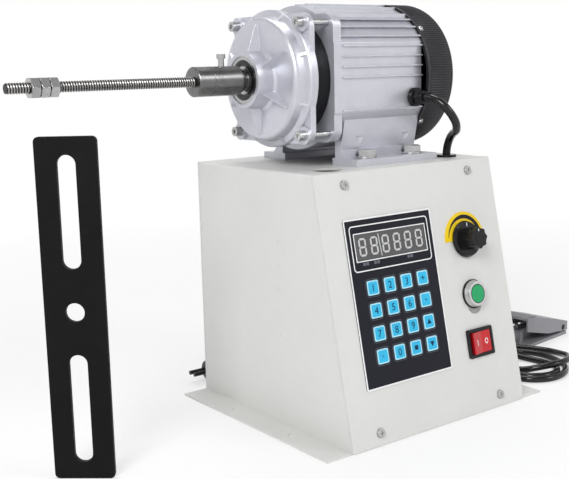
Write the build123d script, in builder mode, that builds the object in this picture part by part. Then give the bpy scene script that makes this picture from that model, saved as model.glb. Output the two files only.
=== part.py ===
from build123d import *
import math
import os

# Wire coil winding machine: a sheet metal console with a sloping control panel, a planetary gear motor on
# top whose spindle points to the operator's left, a foot pedal on its cord, and a loose slotted clamp plate.
# Millimetres. +X right, +Y back, +Z up. Origin on the floor, at the centre of the console's footprint.

# ---------------------------------------------------------------- driving dimensions: console
sheet = 2.0
seam = 0.3
box_width = 240.0
box_height = 256.0
base_depth = 252.0
top_depth = 198.0
fold_radius = 2.5
flange_width = 30.0
flange_hole_radius = 2.75
flange_hole_spacing = 98.0
lip = 18.0
lip_inset = 12.0
floor_gap = 1.0
spot_mark_radius = 2.2
spot_mark_height = 0.5
spot_mark_count = 6
spot_mark_pitch = 23.4
spot_mark_y = -15.0
wiring_hole_radius = 15.0
wiring_hole_x = -80.0
wiring_hole_y = -44.0
vent_length = 26.0
vent_width = 4.0
vent_pitch = 11.0
vent_row_pitch = 34.0
vent_count = 12
vent_height = 170.0
driver_width = 150.0
driver_depth = 84.0
driver_height = 58.0
driver_x = 5.0
driver_y = 30.0
driver_fin_count = 14

# control panel: across from its centre line, and down from its top edge
panel_screw_x = 84.5
panel_screw_inset = 12.0
screw_radius = 2.0
screw_head_radius = 4.9
screw_head_height = 2.5
overlay_width = 114.5
overlay_height = 162.5
overlay_x = -36.0
overlay_down = 126.4
overlay_thickness = 0.8
window_width = 92.0
window_height = 25.2
window_down = 72.8
window_margin = 1.0
key_size = 14.0
key_gap = 0.3
key_corner = 2.0
key_pitch = 22.0
key_rows = 4
key_columns = 4
key_x = -35.0
key_down = 145.4
key_lift = 0.6
key_thickness = 0.7
key_stem_radius = 3.0
key_stem_length = 2.8
control_x = 66.0
knob_down = 82.5
button_down = 139.5
rocker_down = 189.8
dial_radius = 28.6
knob_skirt_radius = 19.0
knob_skirt_top_radius = 17.4
knob_skirt_bottom = 1.6
knob_skirt_rim = 1.0
knob_skirt_top = 6.0
knob_grip_radius = 9.9
knob_lobe_radius = 2.6
knob_lobe_count = 8
knob_top = 21.0
knob_cap_radius = 6.6
pot_shaft_radius = 3.0
pot_bushing_radius = 4.8
pot_nut_flats = 13.0
pot_nut_thickness = 2.2
pot_body_radius = 12.0
pot_body_depth = 10.0
button_cap_radius = 9.2
button_bezel_radius = 14.0
button_bezel_top = 7.5
button_bezel_slope = 1.5
button_gasket_radius = 14.6
button_gasket_thickness = 1.2
button_cap_top = 8.0
button_travel = 3.0
button_barrel_radius = 10.9
button_barrel_depth = 22.0
button_nut_radius = 14.5
button_nut_thickness = 5.0
contact_width = 22.0
contact_height = 28.0
contact_depth = 24.0
rocker_frame_width = 36.7
rocker_frame_height = 29.5
rocker_frame_thickness = 2.4
rocker_opening_width = 30.4
rocker_opening_height = 22.6
rocker_wall = 1.2
rocker_radius = 14.7
rocker_pivot_depth = 1.5
rocker_tilt = 7.0
rocker_trunnion_radius = 1.5
switch_depth = 20.0
board_depth = 6.6
board_thickness = 1.6
board_margin = 3.0
stud_radius = 2.0
tact_height = 3.4
plunger_height = 0.4
display_proud = 0.5
running = 0.05
slip = 0.1

# ---------------------------------------------------------------- driving dimensions: motor and spindle
axis_y = 30.0
axis_z = 343.0
case_hub_x = -124.5
case_hub_radius = 27.5
case_rim_x = -105.0
case_rim_radius = 58.8
case_neck_radius = 62.0
case_radius = 68.0
carrier_room_radius = 36.0
rib_count = 6
rib_root_width = 13.0
rib_root_height = 13.0
rib_depth = 4.0
rib_taper = 7.5
rib_root_radius = 26.0
rib_tip_radius = 54.0
side_rib_thickness = 3.0
rim_round = 4.0
hub_step = 2.0
side_rib_angle = 22.0
flange_front_x = -89.0
flange_rear_x = -83.0
flange_square = 126.0
flange_corner = 14.0
ear_radius = 9.0
ear_thickness = 3.0
tie_bolt_offset = 54.0
tie_bolt_radius = 3.0
tie_bolt_head_radius = 5.0
tie_bolt_head_height = 5.5
tie_washer_thickness = 1.8
gearbox_plate_thickness = 6.0
stator_radius = 58.0
stator_bore_radius = 36.0
stator_end_x = 8.0
stator_tooth_count = 12
stator_tooth_width = 8.0
stator_rim = 8.0
stator_shoe = 3.0
winding_width = 3.0
housing_front_x = -60.0
housing_frame = 10.0
housing_rear_x = 58.0
housing_radius = 72.5
housing_half_width = 64.0
housing_bore_radius = 54.0
fin_thickness = 1.6
fin_height = 2.5
side_fin_heights = (57.6, 50.0, 40.7, 31.0, 21.0, 10.7, 0.4, -32.0)
top_fin_offsets = (-40.0, -24.0, -8.0, 8.0, 24.0, 40.0)
cover_radius = 74.5
cover_lip_radius = 75.2
cover_lip_length = 3.0
cover_length = 40.0
cover_wall = 3.0
cover_corner = 6.0
end_ring_radius = 66.0
end_ring_length = 8.0
end_ring_corner = 5.0
foot_half_width = 78.0
foot_inner = 40.0
foot_thickness = 7.0
foot_front_x = -44.0
foot_rear_x = 66.0
leg_outer_top = 62.0
leg_outer_bottom = 53.0
leg_inner_bottom = 44.0
leg_top = 30.0
leg_flare = 8.0
foot_bolt_inset = 23.5
foot_bolt_offset = 65.0
foot_bolt_radius = 5.0
foot_bolt_flats = 17.0
foot_bolt_head = 6.4
foot_nut_thickness = 8.0
foot_washer_radius = 10.5
foot_washer_thickness = 2.0
shaft_radius = 10.0
output_bearing_radius = 23.5
output_bearing_width = 14.0
motor_bearing_radius = 17.5
motor_bearing_bore = 7.5
motor_bearing_width = 11.0
front_bearing_x = -82.0
rear_bearing_x = 80.0
bearing_seat_wall = 3.5
bearing_stop_radius = 12.0
output_seat_wall = 3.0
seal_recess = 0.8
seal_width = 6.0
gear_module = 1.5
sun_teeth = 12
planet_teeth = 21
ring_teeth = 54
planet_count = 3
pressure_angle = 20.0
addendum_share = 0.8
dedendum_share = 1.15
tooth_backlash = 0.18
flank_steps = 4
gear_front_x = -94.3
gear_width = 10.0
planet_pin_radius = 5.0
ring_radius = 50.0
carrier_rear_x = -95.0
carrier_thickness = 4.5
carrier_margin = 8.0
magnet_radius = 35.0
magnet_front_x = -68.0
magnet_rear_x = -2.0
coupler_front_x = -182.0
coupler_rear_x = -128.4
coupler_radius = 14.3
coupler_step_radius = 12.0
coupler_step_length = 3.0
coupler_bolt_x = -149.0
coupler_bolt_height = 11.5
coupler_bolt_radius = 3.0
coupler_bolt_head_radius = 4.4
coupler_grub_x = -138.0
coupler_scribe_x = -165.0
coupler_scribe = 0.5
nose_radius = 8.5
nose_x = -156.0
rod_end_x = -367.0
rod_radius = 5.0
rod_tip_radius = 4.75
rod_chamfer = 0.8
nut_flats = 17.0
nut_thickness = 8.0
nut_gap = 0.7
outer_nut_x = -346.0
gland_x = 47.0
gland_z = 321.0
gland_length = 17.0
gland_radius = 9.0
gland_nose_radius = 6.0
motor_cable_diameter = 8.5
grommet_x = 90.0
grommet_y = -40.0
grommet_wall = 3.5
grommet_lip = 2.6

# ---------------------------------------------------------------- driving dimensions: accessories
pedal_x = 313.1
pedal_y = 29.0
pedal_turn = 6.7
pedal_length = 94.0
pedal_width = 64.0
pedal_plate = 4.0
pedal_corner = 3.0
pedal_wall = 2.0
pedal_toe_top = 37.0
pedal_toe_bottom = 21.0
pedal_knee = 23.5
pedal_knee_top = 36.0
pedal_heel_top = 17.0
pedal_heel_bottom = 5.5
pedal_rib_count = 7
pedal_rib_height = 1.0
pedal_rib_width = 1.6
pedal_pin_inset = 10.0
pedal_pin_z = 10.5
pedal_pin_radius = 2.5
pedal_lug_width = 5.0
pedal_switch_length = 28.0
pedal_switch_width = 16.0
pedal_switch_height = 12.0
pedal_exit_across = -12.0
pedal_exit_z = 12.6
pedal_relief_out = 10.0
cord_diameter = 7.5
relief_radius = 6.5
relief_tip_radius = 4.7
relief_length = 24.0
relief_wall = 1.6
mains_exit_x = 50.0
pedal_cord_exit_x = 95.0
cord_exit_z = 34.0
coil_start_x = -15.0
coil_start_y = 152.0
coil_radius = 47.3
coil_gap = 0.6
coil_turns_in = 1.5
coil_tail = 42.0
cord_rest = 3.8
bend_share = 0.45
coil_sample_count = 900
plug_length = 46.0
plug_radius = 11.4
plug_neck_radius = 6.5
plug_pin_radius = 2.4
plug_pin_length = 19.0
plug_pin_spacing = 19.0
plate_length = 303.0
plate_width = 54.0
plate_thickness = 4.5
plate_corner = 4.5
plate_slot_width = 16.3
plate_slot_length = 98.0
plate_slot_offset = 87.0
plate_hole_radius = 8.35
plate_x = -333.0
plate_y = -8.0
plate_turn = -40.2

# ---------------------------------------------------------------- worked out from them
os.makedirs("parts", exist_ok=True)

half_width = box_width / 2
rear_y = base_depth / 2
front_top_y = rear_y - top_depth
panel_angle = math.atan2(base_depth - top_depth, box_height)
panel_length = (box_height - floor_gap) / math.cos(panel_angle)
panel_normal = (0, -math.cos(panel_angle), math.sin(panel_angle))
panel_down = (0, -math.sin(panel_angle), -math.cos(panel_angle))
panel_plane = Plane(origin=(0, front_top_y, box_height), x_dir=(1, 0, 0), z_dir=panel_normal)
shell_front = panel_plane.offset(-sheet - seam)
shell_rear_y = rear_y - sheet - seam
shell_rear = Plane.XZ.offset(-shell_rear_y)
rear_face = Plane(origin=(0, rear_y, 0), x_dir=(-1, 0, 0), z_dir=(0, 1, 0))
motor_axis = Axis((0, axis_y, axis_z), (1, 0, 0))
turning_plane = Plane(origin=(0, axis_y, axis_z), x_dir=(1, 0, 0), z_dir=(0, -1, 0))


def across(x):
    """Plane square to the motor axis at x, with its own x along +Y and its own y along +Z."""
    return Plane(origin=(x, axis_y, axis_z), x_dir=(0, 1, 0), z_dir=(1, 0, 0))


def on_panel(x, down, proud=0.0):
    """Plane on the control panel's outer face, at a place across and down it."""
    return Plane(origin=panel_plane.from_local_coords((x, -down, proud)), x_dir=(1, 0, 0), z_dir=panel_normal)


def panel_section(x, down, proud=0.0):
    """Plane through a control's own axis: its x runs across the panel and its y out of it."""
    return Plane(origin=on_panel(x, down, proud).origin, x_dir=(1, 0, 0), z_dir=panel_down)


def turn_profile(points, plane, axis):
    """Revolves a closed outline in the current part."""
    with BuildSketch(plane) as profile:
        with BuildLine():
            Polyline(*points, close=True)
        make_face()
    revolve(profile.sketch, axis=axis)


def motor_ring(inner, outer, start_x, end_x, mode=Mode.ADD):
    """A plain ring or disc on the motor axis, in the current part."""
    with BuildSketch(across(start_x)) as ring:
        Circle(outer)
        if inner > 0:
            Circle(inner, mode=Mode.SUBTRACT)
    extrude(ring.sketch, amount=end_x - start_x, mode=mode)


def save(piece, name):
    """Labels a finished piece and writes it."""
    piece.part.label = name
    export_step(piece.part, f"parts/{name}.step")


key_places = {
    f"key_r{row + 1}c{column + 1}": (
        key_x + key_pitch * (column - (key_columns - 1) / 2),
        key_down + key_pitch * (row - (key_rows - 1) / 2),
    )
    for row in range(key_rows)
    for column in range(key_columns)
}
panel_screw_rows = (panel_screw_inset, panel_length - panel_screw_inset)
panel_screw_places = [(x, -down) for x in (-panel_screw_x, panel_screw_x) for down in panel_screw_rows]
rear_screw_rows = (floor_gap + panel_screw_inset, box_height - panel_screw_inset)
rear_screw_places = [(x, z) for x in (-panel_screw_x, panel_screw_x) for z in rear_screw_rows]
foot_bolt_places = [
    (x, axis_y + side * foot_bolt_offset)
    for x in (foot_front_x + foot_bolt_inset, foot_rear_x - foot_bolt_inset)
    for side in (-1, 1)
]
grommet_radius = motor_cable_diameter / 2 + grommet_wall
relief_neck_radius = cord_diameter / 2 + relief_wall
cord_exits = ((mains_exit_x, cord_exit_z), (pedal_cord_exit_x, cord_exit_z))

# ---------------------------------------------------------------- console
with BuildPart() as enclosure_shell:
    with BuildSketch(shell_rear) as shell_profile:
        with Locations((0, box_height / 2)):
            Rectangle(box_width, box_height)
        fillet(shell_profile.vertices().group_by(Axis.Y)[-1], radius=fold_radius)
        with Locations((0, (box_height - sheet) / 2)):
            Rectangle(box_width - 2 * sheet, box_height - sheet, mode=Mode.SUBTRACT)
        for side in (-1, 1):
            with Locations((side * (half_width + (flange_width - sheet) / 2), sheet / 2)):
                Rectangle(flange_width + sheet, sheet)
    extrude(amount=shell_rear_y + rear_y)
    split(bisect_by=shell_front, keep=Keep.BOTTOM)
    with BuildSketch(shell_front):
        with Locations((0, -lip / 2)):
            Rectangle(box_width - 2 * lip_inset, lip)
        with Locations(*[(x, -panel_screw_inset) for x in (-panel_screw_x, panel_screw_x)]):
            Circle(screw_radius, mode=Mode.SUBTRACT)
    extrude(amount=-sheet)
    with BuildSketch(shell_rear):
        with Locations((0, box_height - (lip + sheet) / 2)):
            Rectangle(box_width - 2 * lip_inset, lip)
        with Locations(*[(x, rear_screw_rows[1]) for x in (-panel_screw_x, panel_screw_x)]):
            Circle(screw_radius, mode=Mode.SUBTRACT)
    extrude(amount=sheet)
    with BuildSketch(Plane.XY.offset(box_height)):
        with Locations((wiring_hole_x, wiring_hole_y)):
            Circle(wiring_hole_radius)
        with Locations((grommet_x, grommet_y)):
            Circle(grommet_radius)
        with Locations(*foot_bolt_places):
            Circle(foot_bolt_radius + slip)
    extrude(amount=-sheet, mode=Mode.SUBTRACT)
    with BuildSketch(Plane.XY):
        with GridLocations(box_width + flange_width, flange_hole_spacing, 2, 2):
            Circle(flange_hole_radius)
    extrude(amount=sheet, mode=Mode.SUBTRACT)
    with BuildSketch(Plane(origin=(-half_width, spot_mark_y, box_height / 2), x_dir=(0, -1, 0), z_dir=(-1, 0, 0))):
        with GridLocations(spot_mark_pitch, spot_mark_pitch, 1, spot_mark_count):
            Circle(spot_mark_radius)
    extrude(amount=spot_mark_height, taper=30)
save(enclosure_shell, "enclosure_shell")

board_width = overlay_width - 2 * board_margin
board_height = overlay_height - 2 * board_margin
with BuildPart() as front_panel:
    with BuildSketch(panel_plane.offset(-sheet)) as panel_outline:
        with Locations((0, -panel_length / 2)):
            Rectangle(box_width, panel_length)
        fillet(panel_outline.vertices(), radius=sheet / 2)
        with Locations(*panel_screw_places):
            Circle(screw_radius + slip, mode=Mode.SUBTRACT)
        with Locations((overlay_x, -window_down)):
            Rectangle(window_width + 2 * window_margin, window_height + 2 * window_margin, mode=Mode.SUBTRACT)
        with Locations(*[(x, -down) for x, down in key_places.values()]):
            Circle(key_stem_radius + 5 * slip, mode=Mode.SUBTRACT)
        with Locations((control_x, -knob_down)):
            Circle(pot_bushing_radius + slip, mode=Mode.SUBTRACT)
        with Locations((control_x, -button_down)):
            Circle(button_barrel_radius + slip, mode=Mode.SUBTRACT)
        with Locations((control_x, -rocker_down)):
            Rectangle(
                rocker_opening_width + 2 * (rocker_wall + slip),
                rocker_opening_height + 2 * (rocker_wall + slip),
                mode=Mode.SUBTRACT,
            )
    extrude(amount=sheet)
    with BuildSketch(on_panel(overlay_x, overlay_down, -sheet)):
        with GridLocations(board_width - 4 * stud_radius, board_height - 4 * stud_radius, 2, 2):
            Circle(stud_radius)
    extrude(amount=sheet - board_depth)
save(front_panel, "front_panel")

with BuildPart() as rear_panel:
    with BuildSketch(Plane.XZ.offset(-rear_y)) as rear_outline:
        with Locations((0, (box_height + floor_gap) / 2)):
            Rectangle(box_width, box_height - floor_gap)
        fillet(rear_outline.vertices(), radius=sheet / 2)
        with Locations(*rear_screw_places):
            Circle(screw_radius + slip, mode=Mode.SUBTRACT)
        with Locations(*cord_exits):
            Circle(relief_neck_radius + slip, mode=Mode.SUBTRACT)
        with Locations((0, vent_height)):
            with GridLocations(vent_pitch, vent_row_pitch, vent_count, 2):
                SlotOverall(vent_length, vent_width, rotation=90, mode=Mode.SUBTRACT)
    extrude(amount=sheet)
save(rear_panel, "rear_panel")

bottom_half = half_width - sheet - seam
bottom_lip_middle = panel_length - lip / 2 - floor_gap
with BuildPart() as bottom_plate:
    with BuildSketch(Plane.XY.offset(floor_gap)):
        Rectangle(2 * bottom_half, 2 * shell_rear_y)
    extrude(amount=sheet)
    split(bisect_by=shell_front, keep=Keep.BOTTOM)
    with BuildSketch(shell_front):
        with Locations((0, -bottom_lip_middle)):
            Rectangle(2 * bottom_half, lip)
        with Locations(*[(x, -panel_screw_rows[1]) for x in (-panel_screw_x, panel_screw_x)]):
            Circle(screw_radius, mode=Mode.SUBTRACT)
    extrude(amount=-sheet)
    with BuildSketch(shell_rear):
        with Locations((0, floor_gap + lip / 2)):
            Rectangle(2 * bottom_half, lip)
        with Locations(*[(x, rear_screw_rows[0]) for x in (-panel_screw_x, panel_screw_x)]):
            Circle(screw_radius, mode=Mode.SUBTRACT)
    extrude(amount=sheet)
save(bottom_plate, "bottom_plate")

with BuildPart() as panel_screws:
    for face, places in ((panel_plane, panel_screw_places), (rear_face, rear_screw_places)):
        with BuildSketch(face):
            with Locations(*places):
                Circle(screw_radius - running)
        extrude(amount=-2 * sheet - seam)
        with BuildSketch(face):
            with Locations(*places):
                Circle(screw_head_radius)
        extrude(amount=screw_head_height, taper=20)
        with BuildSketch(face.offset(screw_head_height)):
            with Locations(*places):
                Rectangle(2 * screw_radius, screw_radius / 2)
                Rectangle(screw_radius / 2, 2 * screw_radius)
        extrude(amount=-screw_head_height / 2, mode=Mode.SUBTRACT)
save(panel_screws, "panel_screws")

driver_base = floor_gap + sheet
driver_top = driver_base + driver_height
with BuildPart() as motor_driver:
    with BuildSketch(Plane.XY.offset(driver_base)):
        with Locations((driver_x, driver_y)):
            Rectangle(driver_width, driver_depth)
    extrude(amount=driver_height)
    fillet(motor_driver.edges().filter_by(Axis.Z), radius=sheet)
    with BuildSketch(Plane.XY.offset(driver_top)):
        with Locations((driver_x, driver_y + driver_depth / 5)):
            with GridLocations(driver_width / driver_fin_count, 0, driver_fin_count - 1, 1):
                Rectangle(sheet, driver_depth / 2)
    extrude(amount=-driver_height / 5, mode=Mode.SUBTRACT)
save(motor_driver, "motor_driver")

# ---------------------------------------------------------------- control panel
with BuildPart() as control_board:
    with BuildSketch(on_panel(overlay_x, overlay_down, -board_depth)):
        Rectangle(board_width, board_height)
    extrude(amount=-board_thickness)
    with BuildSketch(on_panel(overlay_x, window_down, -board_depth)):
        Rectangle(window_width - 2 * key_gap, window_height - 2 * key_gap)
    extrude(amount=board_depth + display_proud)
    with BuildSketch(panel_plane.offset(-board_depth)):
        with Locations(*[(x, -down) for x, down in key_places.values()]):
            Rectangle(2 * key_stem_radius, 2 * key_stem_radius)
    extrude(amount=tact_height)
    with BuildSketch(panel_plane.offset(tact_height - board_depth)):
        with Locations(*[(x, -down) for x, down in key_places.values()]):
            Circle(key_stem_radius / 2)
    extrude(amount=plunger_height)
save(control_board, "control_board")

with BuildPart() as keypad_overlay:
    with BuildSketch(on_panel(overlay_x, overlay_down)):
        RectangleRounded(overlay_width, overlay_height, key_corner)
        with Locations((0, overlay_down - window_down)):
            Rectangle(window_width, window_height, mode=Mode.SUBTRACT)
        with Locations(*[(x - overlay_x, overlay_down - down) for x, down in key_places.values()]):
            RectangleRounded(key_size + 2 * key_gap, key_size + 2 * key_gap, key_corner, mode=Mode.SUBTRACT)
    extrude(amount=overlay_thickness)
save(keypad_overlay, "keypad_overlay")

for key_name, (x, down) in key_places.items():
    with BuildPart() as key:
        with BuildSketch(on_panel(x, down, key_lift)):
            RectangleRounded(key_size, key_size, key_corner - key_gap)
        extrude(amount=key_thickness)
        with BuildSketch(on_panel(x, down, key_lift)):
            Circle(key_stem_radius)
        extrude(amount=-key_stem_length)
    save(key, key_name)

with BuildPart() as speed_dial_plate:
    with BuildSketch(on_panel(control_x, knob_down)):
        Circle(dial_radius)
        with Locations((0, -dial_radius)):
            Rectangle(2 * dial_radius, 2 * dial_radius, mode=Mode.SUBTRACT)
        Circle(pot_body_radius)
        Circle(pot_bushing_radius + slip, mode=Mode.SUBTRACT)
    extrude(amount=overlay_thickness)
save(speed_dial_plate, "speed_dial_plate")

pot_bore_radius = pot_shaft_radius + running
nut_top = overlay_thickness + pot_nut_thickness
with BuildPart() as speed_potentiometer:
    with BuildSketch(on_panel(control_x, knob_down, -sheet)):
        Circle(pot_bushing_radius)
        Circle(pot_bore_radius, mode=Mode.SUBTRACT)
    extrude(amount=sheet + nut_top)
    with BuildSketch(on_panel(control_x, knob_down, overlay_thickness)):
        RegularPolygon(pot_nut_flats / 2, 6, major_radius=False)
        Circle(pot_bore_radius, mode=Mode.SUBTRACT)
    extrude(amount=pot_nut_thickness)
    with BuildSketch(on_panel(control_x, knob_down, -sheet)):
        Circle(pot_body_radius)
        Circle(pot_bore_radius, mode=Mode.SUBTRACT)
    extrude(amount=-pot_body_depth)
    with BuildSketch(on_panel(control_x, knob_down, -sheet - pot_body_depth)):
        Circle(pot_body_radius)
    extrude(amount=-sheet / 2)
save(speed_potentiometer, "speed_potentiometer")

knob_cavity_radius = knob_skirt_top_radius - 2 * sheet
knob_cavity_top = nut_top + sheet / 2
with BuildPart() as speed_knob:
    turn_profile(
        [
            (0, knob_cavity_top),
            (knob_cavity_radius, knob_cavity_top),
            (knob_cavity_radius, knob_skirt_bottom),
            (knob_skirt_radius, knob_skirt_bottom),
            (knob_skirt_radius, knob_skirt_bottom + knob_skirt_rim),
            (knob_skirt_top_radius, knob_skirt_top),
            (0, knob_skirt_top),
        ],
        panel_section(control_x, knob_down),
        Axis(on_panel(control_x, knob_down).origin, panel_normal),
    )
    with BuildSketch(on_panel(control_x, knob_down, knob_skirt_top)):
        Circle(knob_grip_radius)
        with PolarLocations(knob_grip_radius - knob_lobe_radius / 2, knob_lobe_count):
            Circle(knob_lobe_radius)
    extrude(amount=knob_top - knob_skirt_top)
    with BuildSketch(on_panel(control_x, knob_down, knob_top)):
        Circle(knob_cap_radius)
    extrude(amount=overlay_thickness / 2)
    with BuildSketch(on_panel(control_x, knob_down, knob_cavity_top)):
        Circle(pot_shaft_radius)
    extrude(amount=-knob_cavity_top - pot_body_depth)
save(speed_knob, "speed_knob")

button_bore_radius = button_cap_radius + slip
button_well_depth = button_travel + 2 * sheet
button_stem_radius = pot_shaft_radius
with BuildPart() as start_button_body:
    turn_profile(
        [
            (button_bore_radius, button_bezel_top),
            (button_bezel_radius - button_bezel_slope, button_bezel_top),
            (button_bezel_radius, 2 * button_gasket_thickness),
            (button_bezel_radius, button_gasket_thickness),
            (button_barrel_radius, button_gasket_thickness),
            (button_barrel_radius, -button_barrel_depth),
            (button_stem_radius + slip, -button_barrel_depth),
            (button_stem_radius + slip, -button_well_depth),
            (button_bore_radius, -button_well_depth),
        ],
        panel_section(control_x, button_down),
        Axis(on_panel(control_x, button_down).origin, panel_normal),
    )
    with BuildSketch(on_panel(control_x, button_down)):
        Circle(button_gasket_radius)
        Circle(button_barrel_radius + slip, mode=Mode.SUBTRACT)
    extrude(amount=button_gasket_thickness)
    with BuildSketch(on_panel(control_x, button_down, -sheet)):
        Circle(button_nut_radius)
        Circle(button_barrel_radius + slip, mode=Mode.SUBTRACT)
    extrude(amount=-button_nut_thickness)
    with BuildSketch(on_panel(control_x, button_down, -button_barrel_depth)):
        Rectangle(contact_width, contact_height)
    extrude(amount=-contact_depth)
save(start_button_body, "start_button_body")

cap_bottom = button_travel + sheet - button_well_depth
with BuildPart() as start_button_cap:
    with BuildSketch(on_panel(control_x, button_down, cap_bottom)):
        Circle(button_cap_radius)
    extrude(amount=button_cap_top - cap_bottom)
    fillet(start_button_cap.faces().sort_by(Axis((0, 0, 0), panel_normal))[-1].edges(), radius=sheet / 2)
    with BuildSketch(on_panel(control_x, button_down, cap_bottom)):
        Circle(button_stem_radius)
    extrude(amount=-(button_barrel_depth + cap_bottom - button_travel - seam))
save(start_button_cap, "start_button_cap")

switch_body_width = rocker_opening_width + 2 * rocker_wall
switch_body_height = rocker_opening_height + 2 * rocker_wall
rocker_side = panel_section(control_x, rocker_down, -rocker_pivot_depth)
with BuildPart() as power_switch_body:
    with BuildSketch(on_panel(control_x, rocker_down)):
        RectangleRounded(rocker_frame_width, rocker_frame_height, key_corner)
    extrude(amount=rocker_frame_thickness)
    with BuildSketch(on_panel(control_x, rocker_down)):
        Rectangle(switch_body_width, switch_body_height)
    extrude(amount=-switch_depth)
    with BuildSketch(on_panel(control_x, rocker_down, rocker_frame_thickness)):
        Rectangle(rocker_opening_width, rocker_opening_height)
    extrude(amount=-(rocker_frame_thickness + switch_depth - sheet), mode=Mode.SUBTRACT)
    with BuildSketch(rocker_side):
        Circle(rocker_trunnion_radius + running)
    extrude(amount=switch_body_height / 2 - rocker_wall / 4, both=True, mode=Mode.SUBTRACT)
    with BuildSketch(on_panel(control_x, rocker_down, -switch_depth)):
        with GridLocations(switch_body_width / 4, 0, 3, 1):
            Rectangle(overlay_thickness, rocker_opening_height / 3)
    extrude(amount=-switch_depth / 2)
save(power_switch_body, "power_switch_body")

rocker_crown = rocker_pivot_depth + rocker_frame_thickness
rocker_lean = math.radians(rocker_tilt)
rocker_rise = rocker_radius * math.tan(rocker_lean)
rocker_across = Vector(1, 0, 0) * math.cos(rocker_lean) - Vector(*panel_normal) * math.sin(rocker_lean)
with BuildPart() as power_switch_rocker:
    with BuildSketch(Plane(origin=rocker_side.origin, x_dir=rocker_across, z_dir=panel_down)):
        with BuildLine():
            Polyline(
                (-rocker_radius, rocker_crown + rocker_rise),
                (0, rocker_crown),
                (rocker_radius, rocker_crown + rocker_rise),
                (rocker_radius / 2, -rocker_radius / 2),
                (-rocker_radius / 2, -rocker_radius / 2),
                close=True,
            )
        make_face()
        Circle(rocker_radius, mode=Mode.INTERSECT)
    extrude(amount=rocker_opening_height / 2 - key_gap, both=True)
    with BuildSketch(rocker_side):
        Circle(rocker_trunnion_radius)
    extrude(amount=(rocker_opening_height + rocker_wall) / 2, both=True)
save(power_switch_rocker, "power_switch_rocker")

# ---------------------------------------------------------------- gear motor casings
frame_corners = GridLocations(2 * tie_bolt_offset, 2 * tie_bolt_offset, 2, 2)
ear_front_x = flange_front_x - ear_thickness
ring_front_x = gear_front_x - 2 * slip
room_front_x = carrier_rear_x - carrier_thickness - seam
bearing_front_x = case_hub_x + seal_recess + 2 * running
bearing_stop_x = bearing_front_x + output_bearing_width
rim_start = (case_rim_x, case_rim_radius - rim_round)
rim_middle = (case_rim_x + rim_round / 4, case_rim_radius)
rim_end = (case_rim_x + rim_round, case_rim_radius + rim_round / 2)
with BuildPart() as gear_case:
    with BuildSketch(turning_plane):
        with BuildLine():
            Polyline(
                (case_hub_x, output_bearing_radius),
                (case_hub_x, case_hub_radius),
                (case_rim_x - hub_step, case_hub_radius + hub_step / 2),
                (case_rim_x, case_hub_radius + 2 * hub_step),
                rim_start,
            )
            ThreePointArc(rim_start, rim_middle, rim_end)
            Polyline(
                rim_end,
                (ear_front_x - rim_round / 2, case_neck_radius),
                (ear_front_x, case_radius - rim_round / 4),
                (ear_front_x + rim_round / 4, case_radius),
                (flange_rear_x, case_radius),
                (flange_rear_x, ring_radius),
                (ring_front_x, ring_radius),
                (ring_front_x, carrier_room_radius),
                (room_front_x, carrier_room_radius),
                (room_front_x, output_bearing_radius - output_seat_wall),
                (bearing_stop_x, output_bearing_radius - output_seat_wall),
                (bearing_stop_x, output_bearing_radius),
                (case_hub_x, output_bearing_radius),
            )
        make_face()
    revolve(axis=motor_axis)
    for step in range(rib_count):
        spoke = across(case_rim_x).rotated((360 * (step + 0.5) / rib_count, 0, 0))
        rib_root = spoke.from_local_coords((rib_root_radius, 0, 0))
        with BuildSketch(Plane(rib_root, x_dir=spoke.y_dir, z_dir=spoke.x_dir)):
            with BuildLine():
                Polyline(
                    (-rib_root_width / 2, rib_depth),
                    (0, -rib_root_height),
                    (rib_root_width / 2, rib_depth),
                    close=True,
                )
            make_face()
        extrude(amount=rib_tip_radius - rib_root_radius, taper=rib_taper)
    for angle in [90 * quarter + lean for quarter in range(4) for lean in (-side_rib_angle, side_rib_angle)]:
        spoke = across(0).rotated((angle, 0, 0))
        with BuildSketch(Plane(spoke.origin, x_dir=spoke.z_dir, z_dir=spoke.y_dir)):
            with BuildLine():
                Polyline(
                    (case_rim_x + sheet, case_rim_radius - sheet),
                    (ear_front_x + sheet / 2, case_rim_radius - sheet),
                    (ear_front_x + sheet / 2, case_radius),
                    close=True,
                )
            make_face()
        extrude(amount=side_rib_thickness / 2, both=True)
    with BuildSketch(across(flange_front_x)):
        RectangleRounded(flange_square, flange_square, flange_corner)
        Circle(case_radius - rim_round, mode=Mode.SUBTRACT)
    extrude(amount=flange_rear_x - flange_front_x)
    with BuildSketch(across(flange_front_x)):
        with frame_corners:
            Circle(ear_radius)
    extrude(amount=-ear_thickness)
    with BuildSketch(across(ear_front_x)):
        with frame_corners:
            Circle(tie_bolt_radius + slip)
    extrude(amount=flange_rear_x - ear_front_x, mode=Mode.SUBTRACT)
    motor_ring(0, ring_radius, ring_front_x, flange_rear_x, mode=Mode.SUBTRACT)
save(gear_case, "gear_case")

housing_frame_rear_x = housing_front_x + housing_frame
bolt_shoulder_x = ear_front_x - tie_washer_thickness
with BuildPart() as tie_bolts:
    with BuildSketch(across(bolt_shoulder_x)):
        with frame_corners:
            Circle(tie_bolt_head_radius)
    extrude(amount=-tie_bolt_head_height)
    with BuildSketch(across(bolt_shoulder_x - tie_bolt_head_height)):
        with frame_corners:
            RegularPolygon(tie_bolt_head_radius / 2, 6)
    extrude(amount=tie_bolt_head_height / 2, mode=Mode.SUBTRACT)
    with BuildSketch(across(bolt_shoulder_x)):
        with frame_corners:
            Circle(tie_bolt_radius)
    extrude(amount=housing_frame_rear_x - bolt_shoulder_x)
    with BuildSketch(across(bolt_shoulder_x + running)):
        with frame_corners:
            Circle(tie_bolt_head_radius + running)
            Circle(tie_bolt_radius + running, mode=Mode.SUBTRACT)
    extrude(amount=tie_washer_thickness - 2 * running)
save(tie_bolts, "tie_bolts")

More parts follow.
